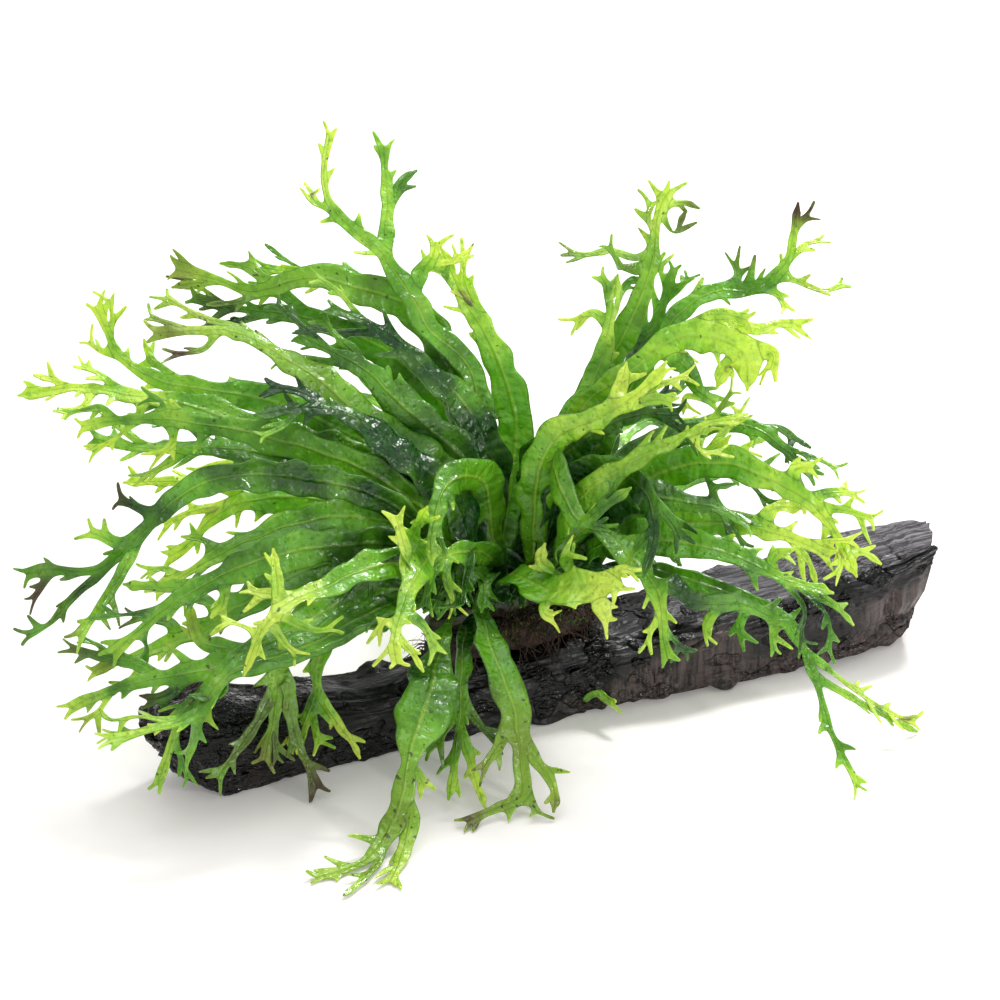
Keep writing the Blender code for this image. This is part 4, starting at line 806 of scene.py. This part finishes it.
# How brown a frond's tips are, and how spotted it is.
BROWN_TIPS = {"left_brown_tipped": 0.55, "left_top_fan": 0.35, "right_antler_tall": 0.4,
              "front_hanging_fork": 0.5, "left_low_outer": 0.45, "left_arm_lower": 0.45,
              "left_dark_cluster": 0.5, "floor_frond_middle": 0.5, "right_tall_narrow": 0.3,
              "left_high_broad": 0.25}
OLD_AND_SPOTTED = {"floor_frond_middle": 1.0, "floor_frond_left": 0.9, "right_spotted": 0.6,
                   "front_hanging_fork": 0.5, "left_brown_tipped": 0.6, "floor_frond_crest": 0.3,
                   "right_tall_narrow": 0.4, "left_high_broad": 0.4}


def to_viewer(point):
    """A point in metres as the viewer's across, up and near, in mm."""
    return TO_WORLD.transposed() @ (point / MM - CROWN)


def to_world(point):
    """The same the other way, and no lower than the ground lets it lie."""
    placed = TO_WORLD @ Vector(point) + CROWN
    placed.z = max(placed.z, GROUND_CLEARANCE)
    return placed * MM


def smooth(points):
    """STEPS places per span of the smooth curve through the points."""
    points = [Vector(p) for p in points]
    ends = [2 * points[0] - points[1], *points, 2 * points[-1] - points[-2]]
    line = []
    for a, b, c, d in zip(ends, ends[1:], ends[2:], ends[3:]):
        for step in range(STEPS):
            t = step / STEPS
            line.append(0.5 * (2 * b + (c - a) * t + (2 * a - 5 * b + 4 * c - d) * t * t
                               + (3 * b - a - 3 * c + d) * t ** 3))
    return [*line, points[-1]]


class Midrib:
    """The centre line of a frond or a fork, with the way ahead and the way across at every place."""

    def __init__(self, points, roll):
        self.line = smooth(points)
        self.reach = [0.0]
        for a, b in zip(self.line, self.line[1:]):
            self.reach.append(self.reach[-1] + (b - a).length)
        self.length = self.reach[-1]
        self.across = []
        last = None
        for i in range(len(self.line)):
            ahead = self.line[min(i + 1, len(self.line) - 1)] - self.line[max(i - 1, 0)]
            ahead.normalize()
            swing = TWIST * noise.noise(Vector((self.reach[i] / 26, roll, 0)))
            side = Matrix.Rotation(radians(roll + swing), 3, ahead) @ ahead.cross(FACING)
            if last is not None:
                if side.dot(last) < 0:
                    side.negate()
                side += TWIST_CARRIED_ON * (last - last.dot(ahead) * ahead)
            last = side.normalized()
            self.across.append(last)

    def at(self, reach):
        reach = min(max(reach, 0), self.length)
        for i, (low, high) in enumerate(zip(self.reach, self.reach[1:])):
            if reach <= high:
                share = (reach - low) / max(high - low, 1e-6)
                ahead = (self.line[i + 1] - self.line[i]).normalized()
                return (self.line[i].lerp(self.line[i + 1], share), ahead,
                        self.across[i].lerp(self.across[i + 1], share).normalized())
        return self.line[-1], (self.line[-1] - self.line[-2]).normalized(), self.across[-1]

    def reach_of(self, count):
        return self.reach[min(round(count * STEPS), len(self.reach) - 1)]


class Frond:
    """One frond, grown row by row as an open sheet in the viewer's frame, in mm."""

    def __init__(self, row):
        self.name, seat, self.width, self.roll, self.tone, route, forks = row
        self.dice = random.Random(self.name)
        self.bm = bmesh.new()
        self.marks = [self.bm.verts.layers.float.new(mark) for mark in MARKS]
        route = [Vector(point) for point in route]
        self.solid = None
        if self.name in nodes:
            solid = nodes[self.name].data
            corners = [to_viewer(v.co) for v in solid.vertices]
            self.solid = BVHTree.FromPolygons(corners, [tuple(p.vertices) for p in solid.polygons])
        if seat is not None:
            stem = min(rhizome_places, key=lambda p: min((p - c).length for c in corners))
            nearest = sorted(corners, key=lambda c: (c - stem).length)
            close = [c for c in nearest if (c - nearest[0]).length < 2.0]
            foot = sum(close, Vector()) / len(close)
            rise = foot + (foot - stem).normalized() * 5
            for _ in range(2):
                rise = self.solid.find_nearest(rise)[0]
            route = [foot, rise, *route]
            forks = [(count + 1, *rest) for count, *rest in forks]
            first = 2
        else:
            first = 0
        bend = 0
        for point in route[first:]:
            settled = self.settle(point + Vector((0, 0, bend)))
            if settled is not None:
                bend = settled - point.z
            point.z += bend
        self.wave = self.dice.uniform(0, 6)
        self.trough = self.dice.choice((-1, 1)) * self.dice.uniform(0.05, 0.13)
        midrib = Midrib(route, self.roll)
        place, _, across = midrib.at(0)
        root = [self.dot(place + across * STALK_WIDTH / 2 * u, 0, 1 - abs(u), 0) for u in (-1, 0, 1)]
        for a, b in zip(root, root[1:]):
            self.bm.edges.new((a, b))
        outline = OWN_OUTLINES.get(self.name) or [(share, part * self.width) for share, part in OUTLINE]
        self.grow(root, midrib, forks, outline, 0, 0, 0)

    def dot(self, place, reach, rib, along):
        vert = self.bm.verts.new(place)
        self.note(vert, reach, rib, along)
        return vert

    def note(self, vert, reach, rib, along):
        brown = BROWN_TIPS.get(self.name, 0) * max(0, reach - 0.86) / 0.14
        blotch = noise.noise(vert.co / 9 + Vector((self.wave, 0, 0))) + 0.35
        age = OLD_AND_SPOTTED.get(self.name, 0) * min(1, max(0, reach - 0.45) / 0.2)
        values = (reach, rib, along, self.tone, min(1, brown * 2.5 * max(0, blotch)), age)
        for mark, value in zip(self.marks, values):
            vert[mark] = value

    def settle(self, point):
        """The near value at which the frond's solid passes this point, if it is close by."""
        if self.solid is None:
            return None
        found = point.copy()
        for _ in range(10):
            hit = self.solid.find_nearest(found)[0]
            found.z = hit.z
        if hypot(hit.x - point.x, hit.y - point.y) > SOLID_REACH or abs(found.z - point.z) > SOLID_DEPTH:
            return None
        return found.z

    def add_row(self, row, places, reach, along):
        edges = [self.bm.edges.get((a, b)) for a, b in zip(row, row[1:])]
        ahead = drawn_out(self.bm, edges, row)
        for number, (vert, place) in enumerate(zip(ahead, places)):
            vert.co = place
            middle = (len(ahead) - 1) / 2
            self.note(vert, reach, 1 - abs(number - middle) / middle if len(ahead) > 2 else 0.5, along)
        return ahead

    def grow(self, root, midrib, forks, outline, depth, along, reach):
        """Grows a strip from its root, with its forks, its small spurs and its split tip."""
        ends = root[-1].co - root[0].co
        if ends.dot(midrib.at(0)[2]) < 0:
            root = root[::-1]
        rows = [root]
        spacing = FORK_ROW_SPACING if depth else ROW_SPACING
        end = midrib.length - (2.4 if midrib.length > 8 else 1.0)
        count = max(2, round(end / spacing))
        stations = [end * (i + 1) / count for i in range(count)]
        leaving = []
        for fork in forks:
            at = min(max(midrib.reach_of(fork[0]), ROOT_HALF + 0.6), end - ROOT_HALF - 0.5)
            leaving.append(at)
            stations = [s for s in stations if abs(s - at) > ROOT_HALF + 0.9 or s == end]
            stations += [s for s in (at - ROOT_HALF, at, at + ROOT_HALF)
                         if all(abs(s - t) > 0.5 for t in stations) and 0.4 < s < end - 0.4]
        stations.sort()
        for station in stations:
            share = station / end
            place, ahead, across = midrib.at(station)
            out = across.cross(ahead)
            half = table_value(outline, 1, share) / 2
            half *= 1 + 0.2 * noise.noise(Vector((along + station, self.wave * 3, depth)) / 6)
            places = []
            columns = len(rows[-1])
            for number in range(columns):
                u = 2 * number / (columns - 1) - 1
                lift = self.trough * 2 * half * abs(u)
                turns = (along + station) * 2 * pi
                ripple = 0.16 * half * sin(turns / RIPPLE_LENGTHS[0] + self.wave + 1.9 * u)
                ripple += 0.13 * half * sin(turns / RIPPLE_LENGTHS[1] + 2.7 * self.wave * u)
                bulge = noise.noise(Vector((along + station, 9 * u, self.wave)) / 4.4)
                bulge += 0.4 * noise.noise(Vector((along + station, 9 * u, 40 + self.wave)) / 2.3)
                bulge += 0.4 * noise.noise(Vector((along + station, 19 * u, 80 + self.wave)) / 9)
                edge = half * (1 + EDGE_BULGE * bulge)
                crumple = 1.5 * noise.noise((place + across * u * edge) / 6.5 + Vector((0, 0, self.wave)))
                crumple *= min(1, half / 3, (along + station) / 12)
                places.append(place + across * u * edge + out * (lift + ripple * abs(u) + crumple))
            rows.append(self.add_row(rows[-1], places, reach + (1 - reach) * share, along + station))
        steps = [0, *stations]
        taken = set()
        for number, (fork, at) in enumerate(zip(forks, leaving)):
            middle = min(range(1, len(steps) - 1), key=lambda i: abs(steps[i] - at))
            place, ahead, across = midrib.at(steps[middle])
            _, fork_route, *smaller = fork
            curl = CURL if number % 2 else -CURL
            points = []
            for point in fork_route:
                lifted = place.z + curl * hypot(point[0] - place.x, point[1] - place.y)
                points.append(Vector((point[0], point[1], point[2] if len(point) > 2 else lifted)))
            side = 1 if (points[0] - place).dot(across) > 0 else -1
            free = [i for i in range(1, len(steps) - 1) if not {(side, i - 1), (side, i)} & taken]
            if not free:
                continue
            middle = min(free, key=lambda i: abs(i - middle))
            taken |= {(side, middle - 1), (side, middle)}
            column = -1 if side > 0 else 0
            edge = [rows[i][column] for i in (middle - 1, middle, middle + 1)]
            start = edge[1].co.copy()
            outward = (start - rows[middle][1].co).normalized()
            short = max(0, LEAST_LEAD - (points[0] - start).dot(outward))
            bend = 0
            for n, point in enumerate(points):
                point += outward * short * (1 - n / len(points))
                settled = self.settle(point + Vector((0, 0, bend)))
                if settled is not None:
                    bend = settled - point.z
                point.z += bend
            wide = min(0.72 * table_value(outline, 1, steps[middle] / end), FORK_WIDTH)
            wide *= self.dice.uniform(0.65, 1.25)
            swell = wide * self.dice.uniform(0.65, 1.15)
            line = Midrib([start, *points], self.roll)
            kept, self.tone = self.tone, self.tone + self.dice.uniform(-0.4, 0.3)
            self.grow(edge, line, smaller[0] if smaller else (),
                      ((0, wide * 1.5), (0.22, wide), (0.55, swell), (0.85, max(1.1, 0.55 * wide)),
                       (1, max(2.0, 0.95 * wide))), depth + 1,
                      along + steps[middle], reach + (1 - reach) * steps[middle] / end)
            self.tone = kept
        self.spurs(rows, steps, midrib, depth, along, reach, taken)
        self.split(rows[-1], midrib, end, along + end)

    def spurs(self, rows, steps, midrib, depth, along, reach, taken):
        """Small teeth and prongs that stand on the margins of the outer part."""
        side = self.dice.choice((-1, 1))
        at = (self.dice.uniform(0.66, 0.8) if depth == 0 else self.dice.uniform(0.3, 0.6)) * midrib.length
        while at < steps[-1] - 1.0:
            i = min(range(len(steps) - 1), key=lambda n: abs((steps[n] + steps[n + 1]) / 2 - at))
            if i > 0 and (side, i) not in taken:
                taken.add((side, i))
                column = -1 if side > 0 else 0
                edge = [rows[i][column], rows[i + 1][column]]
                start = (edge[0].co + edge[1].co) / 2
                _, ahead, across = midrib.at((steps[i] + steps[i + 1]) / 2)
                inner = (rows[i][1].co + rows[i + 1][1].co) / 2
                outward = (start - inner).normalized()
                share = steps[i] / midrib.length
                lengths = TOOTH_LENGTHS if self.dice.random() < TEETH_SHARE else PRONG_LENGTHS
                length = self.dice.uniform(*lengths)
                self.prong(edge, outward, ahead, length, reach + (1 - reach) * share, along + steps[i])
            at += self.dice.uniform(4.0, 9.5) if depth == 0 else self.dice.uniform(3.2, 7.5)
            side = -side if self.dice.random() < 0.75 else side

    def prong(self, edge, outward, ahead, length, reach, along):
        """A prong that leaves a margin, bends forward and ends blunt."""
        if (edge[1].co - edge[0].co).dot(ahead) < 0:
            edge = edge[::-1]
        out = outward.cross(ahead)
        heading = outward + ahead * self.dice.uniform(0.3, 1.2) + out * self.dice.uniform(-0.5, 0.5)
        self.taper(edge, ahead, heading.normalized(), ahead * 0.25, length, reach, along)

    def taper(self, row, across, heading, bend, length, reach, along):
        """Draws an edge out into a narrowing point with a blunt end."""
        place = (row[0].co + row[1].co) / 2
        wide = (row[1].co - row[0].co).length
        tip = self.dice.uniform(*TIP_WIDTHS)
        count = max(2, round(length / 1.9))
        lift = Vector([self.dice.uniform(-0.35, 0.35) for _ in range(3)])
        spots = [(i + 1) / count for i in range(count)]
        before = 0
        for share in [*spots, 1 + 0.35 / length]:
            heading = (heading + (bend + lift) / count).normalized()
            place = place + heading * length * (share - before)
            before = share
            level = across - across.dot(heading) * heading
            if level.length < 0.15:
                level = across.cross(heading).cross(heading)
            level.normalize()
            narrow = min(1, share) ** 0.8
            half = (min(wide, 2.7) * (1 - narrow) + tip * narrow) / 2 * (0.75 if share > 1 else 1)
            row = self.add_row(row, [place - level * half, place + level * half],
                               min(1, reach + (1 - reach) * share), along + length * share)

    def split(self, row, midrib, end, along):
        """Most tips part into two prongs, and the others end in one."""
        place, ahead, across = midrib.at(end)
        if self.dice.random() < SINGLE_TIPS:
            for step in (1.2, 2.2, 2.6):
                half = 0.75 - 0.18 * step
                row = self.add_row(row, [place + ahead * step + across * half * u for u in (-1, 0, 1)], 1,
                                   along + step)
            return
        spread = self.dice.uniform(0.25, 0.8)
        for pair, side in ((row[:2], -1), (row[1:], 1)):
            heading = ahead + across * side * spread * self.dice.uniform(0.5, 1.2)
            self.taper(pair, across, heading.normalized(), across * side * 0.3,
                       self.dice.uniform(1.4, 4.2), 1, along)

    def mesh(self):
        for vert in self.bm.verts:
            vert.co = to_world(vert.co)
        made = bpy.data.meshes.new(self.name + "_leaf")
        self.bm.to_mesh(made)
        self.bm.free()
        made.shade_smooth()
        return made


def wet_leaf():
    leaf = Finish("wet_fern_leaf")
    reach, rib, along, tone, wilt, age = (leaf.mark(mark) for mark in MARKS)
    where = leaf.place()
    mottle = leaf.speckle(where, 70.0, 3.0)
    fine = leaf.speckle(where, 480.0, 3.0, 0.6)
    wrinkle = leaf.speckle(where, 330.0, 2.0)
    veins = (along * 2.6 - rib * 3.5 + fine * 3).sine()
    # young: from the deep green to a yellow green. It rises with the tone, so it carries painted light and
    # painted shade, and with the reach, for the young tips' own colour; the stalk ends near the crown are
    # kept darker as painted shade.
    young = tone + (reach ** 1.3) * 0.4 + (mottle - 0.5) * 2.2 - 0.30
    young = (young + 0.28 * reach.from_to(0.08, 0.38)).from_to(0.05, 1.0)
    # bright: a light lime on the outer parts, partly the young tips' own colour and partly painted light
    # through the tone.
    bright = tone * 0.45 + (reach ** 3.0) * (tone * 0.95 + 0.1) + (mottle - 0.5) * 1.5 - 0.42
    bright = (bright + 0.1 * reach.from_to(0.1, 0.4)).from_to(0.1, 0.9)
    colour = leaf.mix(young, (0.005, 0.048, 0.004, 1), (0.14, 0.39, 0.011, 1))
    colour = leaf.mix(bright, colour, (0.58, 0.78, 0.085, 1))
    colour = leaf.mix(fine.from_to(0.48, 0.72) * 0.4, colour, (0.035, 0.17, 0.01, 1))
    colour = leaf.mix(age * 0.55, colour, (0.30, 0.42, 0.035, 1))
    # The pale midrib near the stalk follows young, so it shows most on the fronds in painted light.
    colour = leaf.mix(rib.from_to(0.90, 0.97) * (1 - reach).from_to(0.0, 0.35) * young * 0.6, colour,
                      (0.38, 0.50, 0.06, 1))
    colour = leaf.mix((1 - rib.from_to(0.0, 0.09)) * 0.5, colour, (0.02, 0.09, 0.01, 1))
    spots = (leaf.speckle(where, 520.0, 1.0) + age * 0.075).from_to(0.73, 0.77)
    colour = leaf.mix(spots * 0.75, colour, (0.03, 0.02, 0.006, 1))
    colour = leaf.mix(wilt, colour, (0.06, 0.026, 0.008, 1))
    leaf.shade(Base_Color=colour, Roughness=0.12 + 0.36 * mottle, Subsurface_Weight=0.85,
               Subsurface_Scale=0.0011, Subsurface_Radius=(0.8, 1.0, 0.2),
               Coat_Weight=mottle.from_to(0.4, 0.56) * 0.5, Coat_Roughness=0.06, Coat_IOR=1.33,
               Specular_IOR_Level=0.5)
    drops = leaf.node("ShaderNodeTexVoronoi", {}, {"Vector": where, "Scale": 620.0})
    beads = (1 - drops * 3.2).from_to(0.0, 0.6) * mottle.from_to(0.42, 0.6)
    leaf.raised(wrinkle * 1.1 + fine * 0.35 + veins * 0.06 + rib.from_to(0.8, 1.0) * 0.35 + beads * 0.5,
                0.9, 0.0010)
    return leaf.material


axis_low, axis_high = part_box("rhizome")
rhizome_places = [to_viewer(Vector((axis_low.x + (axis_high.x - axis_low.x) * share / 40, 0, RHIZOME_TOP)))
                  for share in range(41)]
look = wet_leaf()


def leaf_object(name, mesh):
    """Gives a grown sheet its rounding, its thickness and its finish."""
    mesh.materials.append(look)
    leaf = placed(name, mesh)
    rounded = leaf.modifiers.new("rounded", "SUBSURF")
    rounded.levels = rounded.render_levels = 2
    thick = leaf.modifiers.new("thickness", "SOLIDIFY")
    thick.thickness = FROND_THICKNESS * MM
    thick.offset = 0
    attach(leaf, "root")
    return leaf


for row in FRONDS:
    leaf = leaf_object(row[0] + "_leaf", Frond(row).mesh())
    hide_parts(row[0])
    "leaf_dark" if row[4] < 0.35 else "leaf_green" if row[4] <= 0.7 else "leaf_bright"


# The young leaves --------------------------------------------------------------------------------
# Short leaves that the rhizome keeps putting out between the stalks. They fill the crown, and their low
# tone makes them dark as painted shade of the crown.

YOUNG_LEAVES = 54
MIDDLE_LENGTHS = (0.014, 0.026)
SIDE_LENGTHS = (0.018, 0.036)
GOLDEN_SHARE = 0.618

bm = bmesh.new()
for mark in MARKS:
    bm.verts.layers.float.new(mark)
young = bpy.data.meshes.new("young_leaves")
for number in range(YOUNG_LEAVES):
    dice = random.Random(number)
    side = number % 3 - 1
    seat = 0.002 + 0.008 * side + dice.uniform(-0.007, 0.007)
    foot = Vector((seat, dice.uniform(-0.003, 0.003), RHIZOME_TOP))
    if side == 0:
        bearing = 2 * pi * (number * GOLDEN_SHARE % 1)
    else:
        bearing = dice.uniform(-1.1, 1.1) + (pi if side < 0 else 0)
    long = dice.uniform(*(SIDE_LENGTHS if side else MIDDLE_LENGTHS))
    out = Vector((cos(bearing), sin(bearing), 0)) * long
    route = [to_viewer(foot)]
    for far, high in ((0.12, 0.25), (0.4, 0.5), (0.75, 0.62), (1.1, 0.5)):
        route.append(to_viewer(foot + out * far + Vector((0, 0, long * high * dice.uniform(0.7, 1.4)))))
    # Their low tone is painted shade.
    made = Frond(("young_leaf_%d" % number, None, dice.uniform(4.5, 8), dice.uniform(-30, 30),
                  dice.uniform(-0.1, 0.25), route, ())).mesh()
    bm.from_mesh(made)
    bpy.data.meshes.remove(made)
bm.to_mesh(young)
bm.free()
young.shade_smooth()
leaves = leaf_object("young_leaves", young)


# The floor, the light and the camera -------------------------------------------------------------
# A plain white floor. A key light stands behind the plant and to its right, a wide soft one hangs over
# it, and a small weak one in front, to the right, puts glints on the wet wood and leaves.

# Name, place, width in metres and power in watts.
LIGHTS = (
    ("key", (0.42, 0.22, 0.60), 0.13, 3.6),
    ("overhead", (0.05, 0.15, 0.85), 0.7, 2.6),
    ("front_fill", (0.26, -0.78, 0.32), 0.07, 1.7),
)
LIGHTS_AIM = Vector((0, 0, 0.04))
ROOM_STRENGTH = 0.66
CAMERA_DISTANCE = 3.0
PICTURE_WIDTH = 0.25
SENSOR_WIDTH = 36
PICTURE_MIDDLE = (-1.25, 25, 0)

floor_mesh = bpy.data.meshes.new("white_floor")
bm = bmesh.new()
bmesh.ops.create_grid(bm, x_segments=1, y_segments=1, size=3, matrix=Matrix.Translation((0, 0, -0.0002)))
bm.to_mesh(floor_mesh)
bm.free()
floor = placed("white_floor", floor_mesh)
floor_look = Finish("white_floor")
floor_look.shade(Base_Color=(0.955, 0.92, 0.90, 1), Roughness=0.6, Specular_IOR_Level=0.3,
                 Emission_Color=(1, 0.98, 0.96, 1), Emission_Strength=0.12)
floor_mesh.materials.append(floor_look.material)

scene = bpy.context.scene
world = bpy.data.worlds.new("white_room")
scene.world = world
world.use_nodes = True
world.node_tree.nodes["Background"].inputs["Color"].default_value = (1, 1, 1, 1)
world.node_tree.nodes["Background"].inputs["Strength"].default_value = ROOM_STRENGTH
for name, where, wide, power in LIGHTS:
    lamp = bpy.data.lights.new(name, "AREA")
    lamp.size = wide
    lamp.energy = power
    light = placed(name, lamp)
    light.location = where
    light.rotation_euler = (LIGHTS_AIM - light.location).to_track_quat("-Z", "Y").to_euler()

lens = bpy.data.cameras.new("camera")
lens.sensor_width = SENSOR_WIDTH
lens.lens = SENSOR_WIDTH * CAMERA_DISTANCE / PICTURE_WIDTH
lens.clip_end = 20
camera = placed("camera", lens)
near = TO_WORLD @ Vector((0, 0, 1))
camera.location = to_world(PICTURE_MIDDLE) + near * CAMERA_DISTANCE
camera.rotation_euler = (-near).to_track_quat("-Z", "Y").to_euler()
scene.camera = camera
scene.view_settings.view_transform = "Standard"
